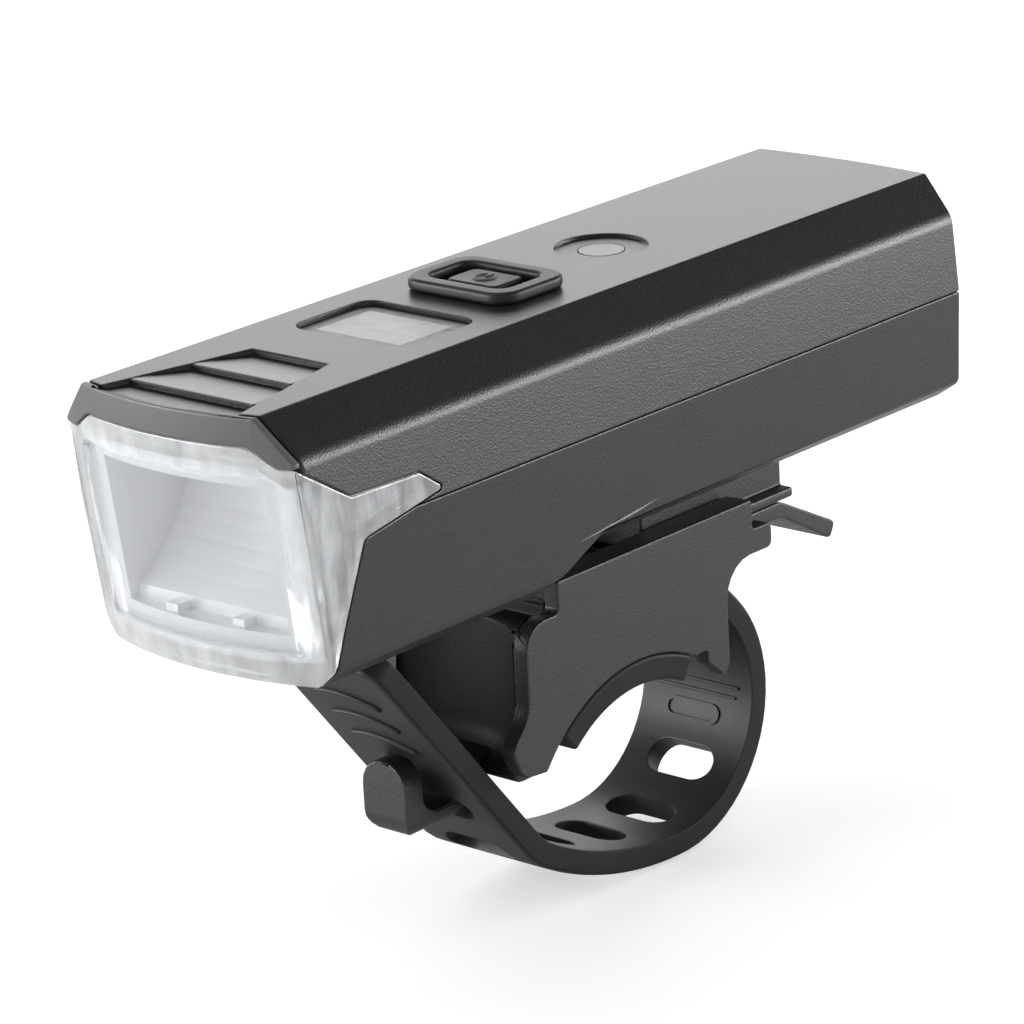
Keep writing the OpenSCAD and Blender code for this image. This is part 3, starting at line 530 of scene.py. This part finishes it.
def flat_plastic(name, tone, rough, speckle):
    """Small inner plastic or board: speckled colour and a fine skin."""
    material, tree, shader = fresh(name)
    where = place(tree)
    grain = noise(tree, where, speckle, 3.0)
    body = blend_colour(tree, grain, shade(tone, 0.75), shade(tone, 1.2))
    feed(tree, shader.inputs["Base Color"], body)
    gloss = spread(tree, grain, NOISE_LOW, NOISE_HIGH, rough - 0.07, rough + 0.07)
    feed(tree, shader.inputs["Roughness"], gloss)
    bump(tree, shader, grain, 0.3, 0.000006)
    return material


def clear_plastic(name, tone, window):
    """Clear moulded plastic: faint flow waves, painted shade as darker streaks on the side faces,
    and a streaky, milky rim round the window.
    """
    material, tree, shader = fresh(name)
    where = place(tree)
    waves = noise(tree, where, 120.0, 2.0)
    tall_shade_noise = noise(tree, stretched(tree, where, (1.0, 1.0, 0.2)), 650.0, 2.0)
    body = blend_colour(tree, waves, shade(tone, 0.985), tone)
    # Painted shade: darker streaks on the side faces only
    painted_shade_bands = maths(tree, "MULTIPLY", spread(tree, tall_shade_noise, 0.42, 0.62), facing_sides(tree))
    body = blend_colour(tree, painted_shade_bands, body, shade(tone, 0.6))
    feed(tree, shader.inputs["Base Color"], body)
    haze = spread(tree, noise(tree, where, 900.0, 2.0), 0.4, 0.7, 0.0, 0.03)
    feed(tree, shader.inputs["Roughness"], haze)
    bump(tree, shader, waves, 0.25, 0.00006)
    streaks = noise(tree, stretched(tree, where, (1.0, 0.35, 0.35)), 420.0, 3.0)
    streaks = spread(tree, streaks, NOISE_LOW, NOISE_HIGH, 0.45, 0.72)
    clear = inside(tree, where, "XZ", *window, soft=FIELD_SOFT)
    clear = maths(tree, "MAXIMUM", maths(tree, "MULTIPLY", clear, 0.96), streaks)
    feed(tree, shader.inputs["Transmission Weight"], clear)
    shader.inputs["IOR"].default_value = 1.49
    return material


def mirrored_skin(name, tone, window):
    """Vacuum-metallised plastic with a faint orange peel and a satin frame; the bowl's side walls
    are less metallic, painted light that renders them whiter.
    """
    material, tree, shader = fresh(name)
    where = place(tree)
    peel = noise(tree, where, 420.0, 2.0)
    bowl = inside(tree, where, "XZ", *window)
    frame_tone = blend_colour(tree, peel, shade(tone, 0.82), shade(tone, 0.88))
    bowl_tone = blend_colour(tree, peel, shade(tone, 0.96), shade(tone, 1.03))
    feed(tree, shader.inputs["Base Color"], blend_colour(tree, bowl, frame_tone, bowl_tone))
    satin = spread(tree, bowl, 0.0, 1.0, 0.42, 0.16)
    gloss = maths(tree, "ADD", satin, maths(tree, "MULTIPLY", peel, 0.06))
    feed(tree, shader.inputs["Roughness"], gloss)
    # Painted light: the bowl's side walls lose metal so that they render whiter
    painted_light_walls = maths(tree, "MULTIPLY", facing_sides(tree), spread(tree, bowl, 0.0, 1.0, 0.0, 0.3))
    silver = spread(tree, bowl, 0.0, 1.0, 0.45, 0.3)
    feed(tree, shader.inputs["Metallic"], maths(tree, "SUBTRACT", silver, painted_light_walls))
    bump(tree, shader, peel, 0.12, 0.00002)
    return material


def inside(tree, where, plane, centre, half_a, half_b, soft=MASK_SOFT):
    """A mask that is 1 inside a rectangle in one of the main planes."""
    parts = node(tree, "SeparateXYZ")
    feed(tree, parts.inputs[0], where)
    masks = []
    for axis, middle, half in zip(plane, centre, (half_a, half_b)):
        off = maths(tree, "ABSOLUTE", maths(tree, "SUBTRACT", parts.outputs[axis], middle))
        masks.append(spread(tree, off, half + soft, half - soft))
    return maths(tree, "MULTIPLY", *masks)


def shaded_recess(tree, where, across, along):
    """1 inside a recess, given by its rectangles across and along the lamp, where painted shade
    goes.
    """
    from_front = inside(tree, where, "XZ", *across)
    return maths(tree, "MULTIPLY", from_front, inside(tree, where, "YZ", *along))


def display_pane(name, tone, screen, centre, half_x, half_y):
    """Dark display pane with a resting screen and faint dots."""
    material, tree, shader = fresh(name)
    where = place(tree)
    lit = inside(tree, where, "XY", centre, half_x, half_y)
    dust = noise(tree, where, 900.0, 3.0)
    dots = node(tree, "TexChecker")
    feed(tree, dots.inputs["Vector"], where)
    dots.inputs["Scale"].default_value = 3000.0
    glass = blend_colour(tree, dust, shade(tone, 0.9), shade(tone, 1.15))
    faint = maths(tree, "MULTIPLY", dots.outputs["Fac"], 0.06)
    field = blend_colour(tree, faint, screen, shade(screen, 0.7))
    feed(tree, shader.inputs["Base Color"], blend_colour(tree, lit, glass, field))
    gloss = spread(tree, dust, NOISE_LOW, NOISE_HIGH, 0.3, 0.4)
    feed(tree, shader.inputs["Roughness"], gloss)
    bump(tree, shader, dust, 0.2, 0.000004)
    shader.inputs["IOR"].default_value = 1.55
    return material


# Rectangles by their middle and half sizes: the mirror's opening, the bracket's scoop
# across and along the lamp, which gets painted shade, and the clear field of the lens
WINDOW = ((0.0, 44.85 * MM), 10.25 * MM, 7.65 * MM)
SHADED_SCOOP = (
    ((0.0, 20.0 * MM), 8.2 * MM, 8.8 * MM),
    ((-15.0 * MM, 20.0 * MM), 4.5 * MM, 8.8 * MM),
)
LENS_FIELD = ((0.0, 44.6 * MM), 13.2 * MM, 9.6 * MM)


def sizes():
    """The lengths that the user may change."""
    return bpy.context.scene.headlight_sizes


def colours():
    """The colours that the user may change."""
    return bpy.context.scene.headlight_colours


def tone(name):
    """One of those colours."""
    return tuple(getattr(colours(), name))


def finish_of(name):
    """The finish of that name, made the first time it is asked for."""
    made = bpy.data.materials.get(name)
    if made is not None:
        return made
    makers = {
        # The shell's front faces and the bracket's scoop get painted shade through a lower specular
        # level
        "shell_grain": lambda: moulded(
            name, tone("shell"), rough=0.34, grain=6500.0, depth=0.00002, wear=0.3,
            ior=1.6, calm=0.9, front=0.12,
        ),
        "visor_satin": lambda: moulded(
            name, tone("visor"), rough=0.4, grain=5200.0, depth=0.000008, wear=0.1
        ),
        "bracket_grain": lambda: moulded(
            name, tone("bracket"), rough=0.46, grain=5000.0, depth=0.00002, wear=0.12,
            front=0.1, recess=SHADED_SCOOP,
        ),
        "strap_rubber": lambda: rubbery(name, tone("rubber"), rough=0.5, dull=0.2),
        "button_rubber": lambda: rubbery(name, shade(tone("rubber"), 1.2), rough=0.42),
        "icon_grey": lambda: rubbery(name, tone("icon"), rough=0.45),
        "lens_clear": lambda: clear_plastic(name, tone("lens"), LENS_FIELD),
        "mirror_skin": lambda: mirrored_skin(name, tone("mirror"), WINDOW),
        "guide_milk": lambda: flat_plastic(name, tone("guide"), 0.4, 1500.0),
        "emitter_glow": lambda: flat_plastic(name, (0.88, 0.86, 0.72), 0.3, 2500.0),
        "board_white": lambda: flat_plastic(name, (0.72, 0.73, 0.72), 0.4, 1200.0),
        "board_green": lambda: flat_plastic(name, (0.03, 0.16, 0.07), 0.38, 900.0),
        "dark_gloss": lambda: flat_plastic(name, (0.03, 0.035, 0.04), 0.25, 1500.0),
        "cell_sleeve": lambda: flat_plastic(name, (0.05, 0.16, 0.32), 0.32, 500.0),
        "sink_aluminium": lambda: metal(name, (0.62, 0.63, 0.64), 0.34, drawn=True),
        "steel_plain": lambda: metal(name, (0.5, 0.5, 0.51), 0.3),
        "nickel_strip": lambda: metal(name, (0.68, 0.66, 0.6), 0.28, drawn=True),
    }
    return makers[name]()


# Pieces


class BuildHousing(bpy.types.Operator):
    """Rounds the edges of both shells and the visor and gives them their grain"""

    bl_idname = "headlight.build_housing"
    bl_label = "Housing"

    def execute(self, context):
        for node_name, piece, merge, finish, slot in (
            ("upper_shell", "upper_housing", MERGE, "shell_grain", "shell_plastic"),
            ("lower_shell", "lower_housing", SLIVER_MERGE, "shell_grain", "shell_plastic"),
            ("visor", "visor_band", MERGE, "visor_satin", "visor_plastic"),
        ):
            obj = copy_of(node_name, piece, merge)
            if node_name == "lower_shell":
                self.close_sliver(obj)
            round_edges(obj, sizes().shell_edge, node_name=node_name)
            finish_piece(obj, "lamp", slot, finish_of(finish), node_name)
        return {"FINISHED"}

    def close_sliver(self, obj):
        """Merges the hair-thin step where the deep front's sides run out."""
        edit(obj)
        for side in (1.0, -1.0):
            step = lambda v: (
                abs(v.co.y) < SLIVER_Y
                and v.co.x * side > SLIVER_SIDE
                and v.co.z < SLIVER_TOP
            )
            choose(obj, "VERT", step)
            bpy.ops.mesh.merge(type="CENTER")
        done()


class BuildLens(bpy.types.Operator):
    """Rounds and clears the front lens"""

    bl_idname = "headlight.build_lens"
    bl_label = "Lens"

    def execute(self, context):
        obj = copy_of("clear_lens", "front_lens")
        round_edges(obj, sizes().lens_edge, node_name="clear_lens")
        finish_piece(obj, "lamp", "clear_plastic", finish_of("lens_clear"), "clear_lens")
        return {"FINISHED"}


class BuildOptics(bpy.types.Operator):
    """Finishes the reflector, the emitter and what is behind them"""

    bl_idname = "headlight.build_optics"
    bl_label = "Optics"

    def execute(self, context):
        dress("reflector", finish_of("mirror_skin"))
        dress("led_emitter", finish_of("emitter_glow"))
        dress("led_board", finish_of("board_white"))
        dress("heat_sink", finish_of("sink_aluminium"))
        gasket = copy_of("lens_gasket", "rubber_gasket")
        round_edges(gasket, sizes().rubber_edge / 2, node_name="lens_gasket")
        finish_piece(gasket, "lamp", "soft_rubber", finish_of("strap_rubber"), "lens_gasket")
        return {"FINISHED"}


class BuildControls(bpy.types.Operator):
    """Models the rubber button and bezel and finishes the display and the sensor"""

    bl_idname = "headlight.build_controls"
    bl_label = "Controls"

    def execute(self, context):
        bezel = copy_of("button_bezel", "rubber_bezel")
        round_edges(bezel, sizes().rubber_edge, 3)
        finish_piece(bezel, "lamp", "soft_rubber", finish_of("button_rubber"), "button_bezel")
        cap = copy_of("button_cap", "rubber_cap")
        round_edges(cap, sizes().rubber_edge * 0.8, 3)
        cap.data.materials.append(finish_of("button_rubber"))
        low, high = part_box("button_cap")
        sign = self.power_sign((low + high) / 2, high.z)
        sign.data.materials.append(finish_of("icon_grey"))
        join(cap, sign)
        finish_piece(cap, "button", "soft_rubber", None, "button_cap")
        low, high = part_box("display_window")
        pane = copy_of("display_window", "display_pane")
        round_edges(pane, PANE_EDGE)
        look = display_pane(
            "pane_grey", PANE_TONE, tone("screen"), (low + high) / 2,
            sizes().screen_width / 2, sizes().screen_length / 2,
        )
        finish_piece(pane, "lamp", "window_grey", look, "display_window")
        dress("sensor_window", finish_of("guide_milk"))
        return {"FINISHED"}

    def power_sign(self, middle, top):
        """A broken ring and a bar, sunk into the top of the button."""
        radius = sizes().icon_radius
        clear_pick()
        bpy.ops.mesh.primitive_torus_add(
            major_radius=radius, minor_radius=radius * 0.16, major_segments=40, minor_segments=10,
            location=(middle.x, middle.y, top),
        )
        ring = bpy.context.object
        ring.name = "power_sign"
        bpy.ops.object.transform_apply(location=True, rotation=True, scale=True)
        edit(ring)
        gap = lambda v: v.co.y > middle.y and abs(v.co.x - middle.x) < radius * 0.48
        choose(ring, "VERT", gap)
        bpy.ops.mesh.delete(type="VERT")
        choose(ring, "EDGE", lambda e: e.is_boundary)
        bpy.ops.mesh.edge_face_add()
        done()
        half = radius * 0.16
        bar = box(
            "power_bar",
            (middle.x - half, middle.y + radius * 0.1, top - half),
            (middle.x + half, middle.y + radius * 1.25, top + half),
        )
        round_edges(bar, half * 0.6, 3)
        return join(ring, bar)


class BuildInnerParts(bpy.types.Operator):
    """Finishes the boards, the cell, the seal and the screws inside the housing"""

    bl_idname = "headlight.build_inner_parts"
    bl_label = "Inner parts"

    def execute(self, context):
        for node_name, finish in (
            ("main_board", "board_green"),
            ("tact_switch", "steel_plain"),
            ("display_module", "dark_gloss"),
            ("light_sensor", "dark_gloss"),
            ("battery_cell", "cell_sleeve"),
            ("battery_tabs", "nickel_strip"),
            ("case_screws", "steel_plain"),
            ("rail_screws", "steel_plain"),
        ):
            dress(node_name, finish_of(finish))
        seal = copy_of("shell_seal", "rubber_seal")
        round_edges(seal, SEAL_EDGE)
        finish_piece(seal, "lamp", "soft_rubber", finish_of("strap_rubber"), "shell_seal")
        return {"FINISHED"}


class BuildPort(bpy.types.Operator):
    """Models the rubber port cover and finishes the charge socket"""

    bl_idname = "headlight.build_port"
    bl_label = "Charge port"

    def execute(self, context):
        dress("charge_socket", finish_of("steel_plain"))
        cover = copy_of("port_cover", "rubber_cover")
        round_edges(cover, sizes().rubber_edge * 0.6, 3)
        finish_piece(cover, "cover", "soft_rubber", finish_of("button_rubber"), "port_cover")
        return {"FINISHED"}


class BuildBracket(bpy.types.Operator):
    """Rounds the bracket, the slide rail and the release tongue"""

    bl_idname = "headlight.build_bracket"
    bl_label = "Bracket"

    def execute(self, context):
        for node_name, piece, body in (
            ("bracket", "handlebar_bracket", "holder"),
            ("slide_rail", "lamp_rail", "lamp"),
            ("release_tongue", "thumb_tongue", "tongue"),
        ):
            obj = copy_of(node_name, piece, BRACKET_MERGE)
            round_edges(obj, sizes().bracket_edge, 2, BRACKET_ANGLE, node_name)
            finish_piece(obj, body, "bracket_plastic", finish_of("bracket_grain"), node_name)
        return {"FINISHED"}


class BuildPad(bpy.types.Operator):
    """Models the rubber pad in the saddle"""

    bl_idname = "headlight.build_pad"
    bl_label = "Saddle pad"

    def execute(self, context):
        pad = copy_of("saddle_pad", "rubber_pad")
        round_edges(pad, sizes().rubber_edge, 3)
        finish_piece(pad, "holder", "soft_rubber", finish_of("strap_rubber"), "saddle_pad")
        return {"FINISHED"}


# Strap: half width, thickness and rounding, and its eye round the anchor bar, whose place is
# (Y, Z) from the handlebar axis
STRAP_HALF = 7.6 * MM
STRAP_THICK = 2.7 * MM
STRAP_EDGE = 0.22 * MM
ANCHOR = Vector((13.602, 20.015)) * MM
ANCHOR_BAR = 1.65 * MM
EYE_RADIUS = 3.8 * MM
EYE_EDGE = 0.3 * MM
# Heading of the strap where it leaves the eye, in degrees from +Y
STRAP_HEADING = -45.25
# Its legs from there: a radius in mm and a turn in degrees, or 0 and a length in mm
STRAP_LEGS = ((0.0, 4.6), (13.8, 44.75), (13.8, 90.0), (43.7, 30.2), (6.8, 20.6), (0.0, 34.0))
FIRST_SLOT = 26.1 * MM
SLOT_PITCH = 8.8 * MM
SLOT_WIDTH = 8.6 * MM
SLOT_LENGTH = 4.4 * MM
SLOT_COUNT = 6
TAB_CORNER = 2.2 * MM
BEND_STEPS = 64

# Grip ridges: places along the strap in mm, half width, half length, and bow per metre
RIDGE_STARTS = (91.0, 87.0, 83.1)
RIDGE_HALF = 0.4 * MM
RIDGE_REACH = 4.2 * MM
RIDGE_CURVE = 60.0
RIDGE_CUTS = 12
RIDGE_EDGE = 0.3 * MM

# Moulded marks: lines as place along the strap, start and end across it, in mm
MARK_LINES = ((16.0, -5.8, 5.8), (17.3, -6.0, 5.4))
MARK_HALF = 0.2 * MM
MARK_ROOT = 0.3 * MM
MARK_EDGE = 0.09 * MM
OBLONG_ALONG = (18.6 * MM, 21.2 * MM)
OBLONG_ACROSS = (-4.0 * MM, 3.4 * MM)
OBLONG_ROOT = 0.4 * MM
OBLONG_CORNER = 1.2 * MM
OBLONG_RIM = 0.4 * MM
OBLONG_SINK = 0.1 * MM


def strap_path(step=0.7 * MM):
    """Points of the strap's middle line, as (Y, Z) from the handlebar axis, and its length."""
    heading = math.radians(STRAP_HEADING)
    out = Vector((-math.sin(heading), math.cos(heading)))
    point = ANCHOR + (EYE_RADIUS - STRAP_THICK / 2) * out
    points, total = [point.copy()], 0.0
    for radius, amount in STRAP_LEGS:
        span = amount * MM if radius == 0.0 else radius * MM * math.radians(amount)
        count = max(1, round(span / step))
        for _ in range(count):
            turn = 0.0 if radius == 0.0 else math.radians(amount) / count
            chord = span / count if turn == 0.0 else 2 * radius * MM * math.sin(turn / 2)
            heading -= turn / 2
            point = point + chord * Vector((math.cos(heading), math.sin(heading)))
            heading -= turn / 2
            points.append(point.copy())
        total += span
    return points, total


class BuildStrap(bpy.types.Operator):
    """Models the perforated rubber strap flat and bends it round its path"""

    bl_idname = "headlight.build_strap"
    bl_label = "Strap"

    def execute(self, context):
        points, total = strap_path()
        strap = self.blank(total)
        self.punch_slots(strap)
        round_edges(strap, STRAP_EDGE, 2, STRAP_ANGLE)
        ridges = [self.ridge(start * MM) for start in RIDGE_STARTS]
        strap = join(strap, *ridges, *self.marks())
        edit(strap)
        for i in range(1, BEND_STEPS):
            bpy.ops.mesh.select_all(action="SELECT")
            bpy.ops.mesh.bisect(plane_co=(total * i / BEND_STEPS, 0, 0), plane_no=(1, 0, 0))
        done()
        self.bend(strap, points)
        strap = join(strap, self.eye())
        rubber = finish_of("strap_rubber")
        finish_piece(strap, "holder", "soft_rubber", rubber, "strap", angle=STRAP_ANGLE)
        return {"FINISHED"}

    def blank(self, total):
        """The flat strap: x along it, y out of its outer face, z across it."""
        half = STRAP_THICK / 2
        strap = box("perforated_strap", (0, -half, -STRAP_HALF), (total, half, STRAP_HALF))
        edit(strap)
        end = lambda e: (
            all(v.co.x > total - TINY for v in e.verts)
            and abs(e.verts[0].co.z - e.verts[1].co.z) < TINY
        )
        choose(strap, "EDGE", end)
        bpy.ops.mesh.bevel(offset=TAB_CORNER, segments=6)
        rim = lambda e: (
            all(v.co.y > half - TINY for v in e.verts)
            and not all(v.co.x < TINY for v in e.verts)
        )
        choose(strap, "EDGE", rim)
        bpy.ops.mesh.bevel(offset=sizes().strap_chamfer, segments=1)
        done()
        return strap

    def punch_slots(self, strap):
        """Six slots with round ends."""
        half = Vector((SLOT_LENGTH / 2, 2 * STRAP_THICK, SLOT_WIDTH / 2))
        middle = Vector((FIRST_SLOT, 0, 0))
        punch = box("slot_punch", middle - half, middle + half)
        edit(punch)
        choose(punch, "EDGE", lambda e: abs(e.verts[0].co.y - e.verts[1].co.y) > STRAP_THICK)
        bpy.ops.mesh.bevel(offset=SLOT_LENGTH / 2 - 0.00005, segments=8)
        done()
        use(
            punch, "ARRAY", count=SLOT_COUNT, use_relative_offset=False, use_constant_offset=True,
            constant_offset_displace=(SLOT_PITCH, 0, 0),
        )
        cut(strap, punch)

    def ridge(self, start):
        """A curved grip ridge across the pull tab."""
        ridge = box(
            "grip_ridge",
            (start - RIDGE_HALF, STRAP_THICK / 2 - RIDGE_HALF, -RIDGE_REACH),
            (start + RIDGE_HALF, STRAP_THICK / 2 + sizes().ridge_height, RIDGE_REACH),
        )
        edit(ridge)
        choose(ridge, "EDGE", lambda e: abs(e.verts[0].co.z - e.verts[1].co.z) > MM)
        bpy.ops.mesh.subdivide(number_cuts=RIDGE_CUTS)
        done()
        for vertex in ridge.data.vertices:
            vertex.co.x -= RIDGE_CURVE * (vertex.co.z + MM) ** 2
        round_edges(ridge, RIDGE_EDGE, 3)
        return ridge

    def marks(self):
        """Two raised lines and a raised oblong on the strap's inner face, behind the handlebar."""
        face = -STRAP_THICK / 2
        high = face - sizes().mark_height
        made = []
        for mark in MARK_LINES:
            along, low, far = (value * MM for value in mark)
            line = box(
                "moulded_line",
                (along - MARK_HALF, high, low),
                (along + MARK_HALF, face + MARK_ROOT, far),
            )
            round_edges(line, MARK_EDGE)
            made.append(line)
        oblong = box(
            "moulded_oblong",
            (OBLONG_ALONG[0], high, OBLONG_ACROSS[0]),
            (OBLONG_ALONG[1], face + OBLONG_ROOT, OBLONG_ACROSS[1]),
        )
        edit(oblong)
        choose(oblong, "EDGE", lambda e: abs(e.verts[0].co.y - e.verts[1].co.y) > 0.1 * MM)
        bpy.ops.mesh.bevel(offset=OBLONG_CORNER, segments=6)
        choose(oblong, "FACE", lambda f: f.normal.y < -0.9)
        bpy.ops.mesh.inset(thickness=OBLONG_RIM)
        sink = sizes().mark_height + OBLONG_SINK
        bpy.ops.mesh.extrude_region_move(TRANSFORM_OT_translate={"value": (0, sink, 0)})
        done()
        made.append(oblong)
        return made

    def bend(self, strap, points):
        """Bends the flat strap along its path and stands it upright."""
        clear_pick()
        line = bpy.data.curves.new("strap_line", "CURVE")
        line.dimensions = "2D"
        spline = line.splines.new("POLY")
        spline.points.add(len(points) - 1)
        for target, point in zip(spline.points, points):
            target.co = (point.x, point.y, 0.0, 1.0)
        guide = bpy.data.objects.new("strap_line", line)
        bpy.context.scene.collection.objects.link(guide)
        use(strap, "CURVE", object=guide, deform_axis="POS_X")
        pick(guide)
        bpy.ops.object.delete()
        strap.matrix_world = Matrix(((0, 0, 1, 0), (1, 0, 0, 0), (0, 1, 0, 0), (0, 0, 0, 1)))
        pick(strap)
        bpy.ops.object.transform_apply(location=True, rotation=True, scale=True)

    def eye(self):
        """The ring of the strap round the anchor bar."""
        eye = rod(
            "strap_eye",
            EYE_RADIUS,
            2 * STRAP_HALF,
            (0, ANCHOR.x, ANCHOR.y),
            (0, math.radians(90), 0),
        )
        edit(eye)
        choose(eye, "FACE", lambda f: abs(f.normal.x) > 0.9)
        bpy.ops.mesh.inset(thickness=EYE_RADIUS - ANCHOR_BAR)
        bpy.ops.mesh.bridge_edge_loops()
        done()
        round_edges(eye, EYE_EDGE, 2, STRAP_ANGLE)
        return eye


# Studio

# Name, place, width, height in metres and power in watts
SOFTBOXES = (
    ("back_softbox", (-0.76, 0.56, 0.31), 1.1, 0.62, 4.3),
    ("right_softbox", (0.66, 0.80, 0.17), 0.9, 0.24, 7.0),
    ("front_softbox", (-0.70, -0.80, 0.13), 0.9, 0.24, 9.4),
    ("top_softbox", (-0.25, -0.35, 1.0), 0.7, 0.7, 1.6),
)
LAMP_AIM = (0, 0, 0.04)
FLOOR_SIZE = 6.0
FLOOR_GAP = 0.3 * MM
FLOOR_GLOW = 0.5
HIDDEN_LIGHT = 0.45

# Camera: axes before its roll, roll in degrees, place in metres, and in pixels the middle of
# the picture, the point that the axes look along and the focal length
CAMERA_BACK = (0.63656, -0.71449, 0.29032)
CAMERA_RIGHT = (0.74665, 0.66521, 0.0)
CAMERA_ROLL = -3.05
CAMERA_PLACE = (0.32780, -0.37093, 0.19435)
CAMERA_LENS = 175.78
PICTURE_MIDDLE = 512
PICTURE_POINT = (534.9, 412.5)
PICTURE_FOCUS = 5000


class BuildStage(bpy.types.Operator):
    """Sets the floor, the soft lamps, the white surroundings and the camera"""

    bl_idname = "headlight.build_stage"
    bl_label = "Stage"

    def execute(self, context):
        self.floor(context)
        self.surroundings(context)
        for name, where, width, height, power in SOFTBOXES:
            self.lamp(name, where, width, height, power)
        self.camera(context)
        context.scene.view_settings.view_transform = "Standard"
        return {"FINISHED"}

    def floor(self, context):
        """White floor under the strap, which also glows for the camera and through the lens."""
        low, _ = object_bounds()
        clear_pick()
        bpy.ops.mesh.primitive_plane_add(size=FLOOR_SIZE, location=(0, 0, low.z - FLOOR_GAP))
        floor = bpy.context.object
        floor.name = "studio_floor"
        bpy.ops.object.transform_apply(location=True, rotation=True, scale=True)
        material, tree, shader = fresh("floor_white")
        where = place(tree)
        fibre = noise(tree, where, 300.0, 3.0)
        base = tone("floor")
        feed(tree, shader.inputs["Base Color"], blend_colour(tree, fibre, shade(base, 0.985), base))
        shader.inputs["Roughness"].default_value = 0.9
        shader.inputs["Specular IOR Level"].default_value = 0.1
        shader.inputs["Emission Color"].default_value = (1.0, 1.0, 1.0, 1.0)
        clear = self.clear_rays(tree, node(tree, "LightPath"))
        glow = maths(tree, "MULTIPLY", clear, FLOOR_GLOW)
        feed(tree, shader.inputs["Emission Strength"], glow)
        floor.data.materials.append(material)
        floor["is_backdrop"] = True

    def clear_rays(self, tree, path):
        """1 for camera rays and for rays that pass through the lens."""
        rays = path.outputs
        return maths(tree, "MAXIMUM", rays["Is Camera Ray"], rays["Is Transmission Ray"])

    def surroundings(self, context):
        """White all round; reflections see it only near the horizon."""
        world = bpy.data.worlds.new("white_studio")
        context.scene.world = world
        world.use_nodes = True
        tree = world.node_tree
        back = tree.nodes["Background"]
        parts = node(tree, "SeparateXYZ")
        feed(tree, parts.inputs[0], node(tree, "TexCoord").outputs["Generated"])
        ceiling = spread(tree, parts.outputs[2], 0.1, 0.34, 1.0, 0.05)
        path = node(tree, "LightPath")
        glossy = maths(tree, "MULTIPLY", path.outputs["Is Glossy Ray"], ceiling)
        clear = self.clear_rays(tree, path)
        seen = maths(tree, "MAXIMUM", glossy, clear)
        any_seen = maths(tree, "MAXIMUM", clear, path.outputs["Is Glossy Ray"])
        hidden = maths(tree, "SUBTRACT", 1.0, any_seen)
        strength = maths(tree, "ADD", seen, maths(tree, "MULTIPLY", hidden, HIDDEN_LIGHT))
        feed(tree, back.inputs["Strength"], strength)
        back.inputs["Color"].default_value = (1.0, 1.0, 1.0, 1.0)

    def lamp(self, name, where, width, height, power):
        """A soft lamp that looks at the headlight and is not seen itself."""
        light = bpy.data.lights.new(name, "AREA")
        light.shape = "RECTANGLE"
        light.size, light.size_y = width, height
        light.energy = power
        lamp = bpy.data.objects.new(name, light)
        bpy.context.scene.collection.objects.link(lamp)
        lamp.location = where
        aim = Vector(LAMP_AIM) - Vector(where)
        lamp.rotation_euler = aim.to_track_quat("-Z", "Y").to_euler()
        lamp.visible_camera = False

    def camera(self, context):
        """The camera, aimed through the middle of the picture."""
        data = bpy.data.cameras.new("photo_camera")
        data.sensor_width = 36.0
        data.lens = CAMERA_LENS
        camera = bpy.data.objects.new("photo_camera", data)
        context.scene.collection.objects.link(camera)
        back = Vector(CAMERA_BACK)
        right = Vector(CAMERA_RIGHT)
        up = back.cross(right)
        roll = math.radians(CAMERA_ROLL)
        right, up = (
            right * math.cos(roll) + up * math.sin(roll),
            up * math.cos(roll) - right * math.sin(roll),
        )
        off_x = PICTURE_MIDDLE - PICTURE_POINT[0]
        off_y = PICTURE_MIDDLE - PICTURE_POINT[1]
        aim = right * off_x / PICTURE_FOCUS - up * off_y / PICTURE_FOCUS - back
        back = -aim.normalized()
        right = (right - right.dot(back) * back).normalized()
        up = back.cross(right)
        camera.matrix_world = Matrix((
            (right.x, up.x, back.x, CAMERA_PLACE[0]),
            (right.y, up.y, back.y, CAMERA_PLACE[1]),
            (right.z, up.z, back.z, CAMERA_PLACE[2]),
            (0, 0, 0, 1),
        ))
        data.clip_start, data.clip_end = 0.01, 20.0
        context.scene.camera = camera


class HeadlightPanel(bpy.types.Panel):
    """Lists the steps that build the headlight"""

    bl_idname = "VIEW3D_PT_headlight"
    bl_label = "Bike headlight"
    bl_space_type = "VIEW_3D"
    bl_region_type = "UI"
    bl_category = "Headlight"

    def draw(self, context):
        for step in STEPS:
            self.layout.operator(step.bl_idname)
        for group in (context.scene.headlight_sizes, context.scene.headlight_colours):
            column = self.layout.column()
            for name in group.__annotations__:
                column.prop(group, name)


STEPS = (
    BuildHousing,
    BuildLens,
    BuildOptics,
    BuildControls,
    BuildInnerParts,
    BuildPort,
    BuildBracket,
    BuildPad,
    BuildStrap,
    BuildStage,
)
CLASSES = (HeadlightSizes, HeadlightColours, *STEPS, HeadlightPanel)


def register():
    for item in CLASSES:
        bpy.utils.register_class(item)
    bpy.types.Scene.headlight_sizes = PointerProperty(type=HeadlightSizes)
    bpy.types.Scene.headlight_colours = PointerProperty(type=HeadlightColours)


def unregister():
    del bpy.types.Scene.headlight_colours
    del bpy.types.Scene.headlight_sizes
    for item in reversed(CLASSES):
        bpy.utils.unregister_class(item)


def main():
    register()
    bpy.ops.headlight.build_housing()
    bpy.ops.headlight.build_lens()
    bpy.ops.headlight.build_optics()
    bpy.ops.headlight.build_controls()
    bpy.ops.headlight.build_inner_parts()
    bpy.ops.headlight.build_port()
    bpy.ops.headlight.build_bracket()
    bpy.ops.headlight.build_pad()
    bpy.ops.headlight.build_strap()
    bpy.ops.headlight.build_stage()


if __name__ == "__main__":
    main()
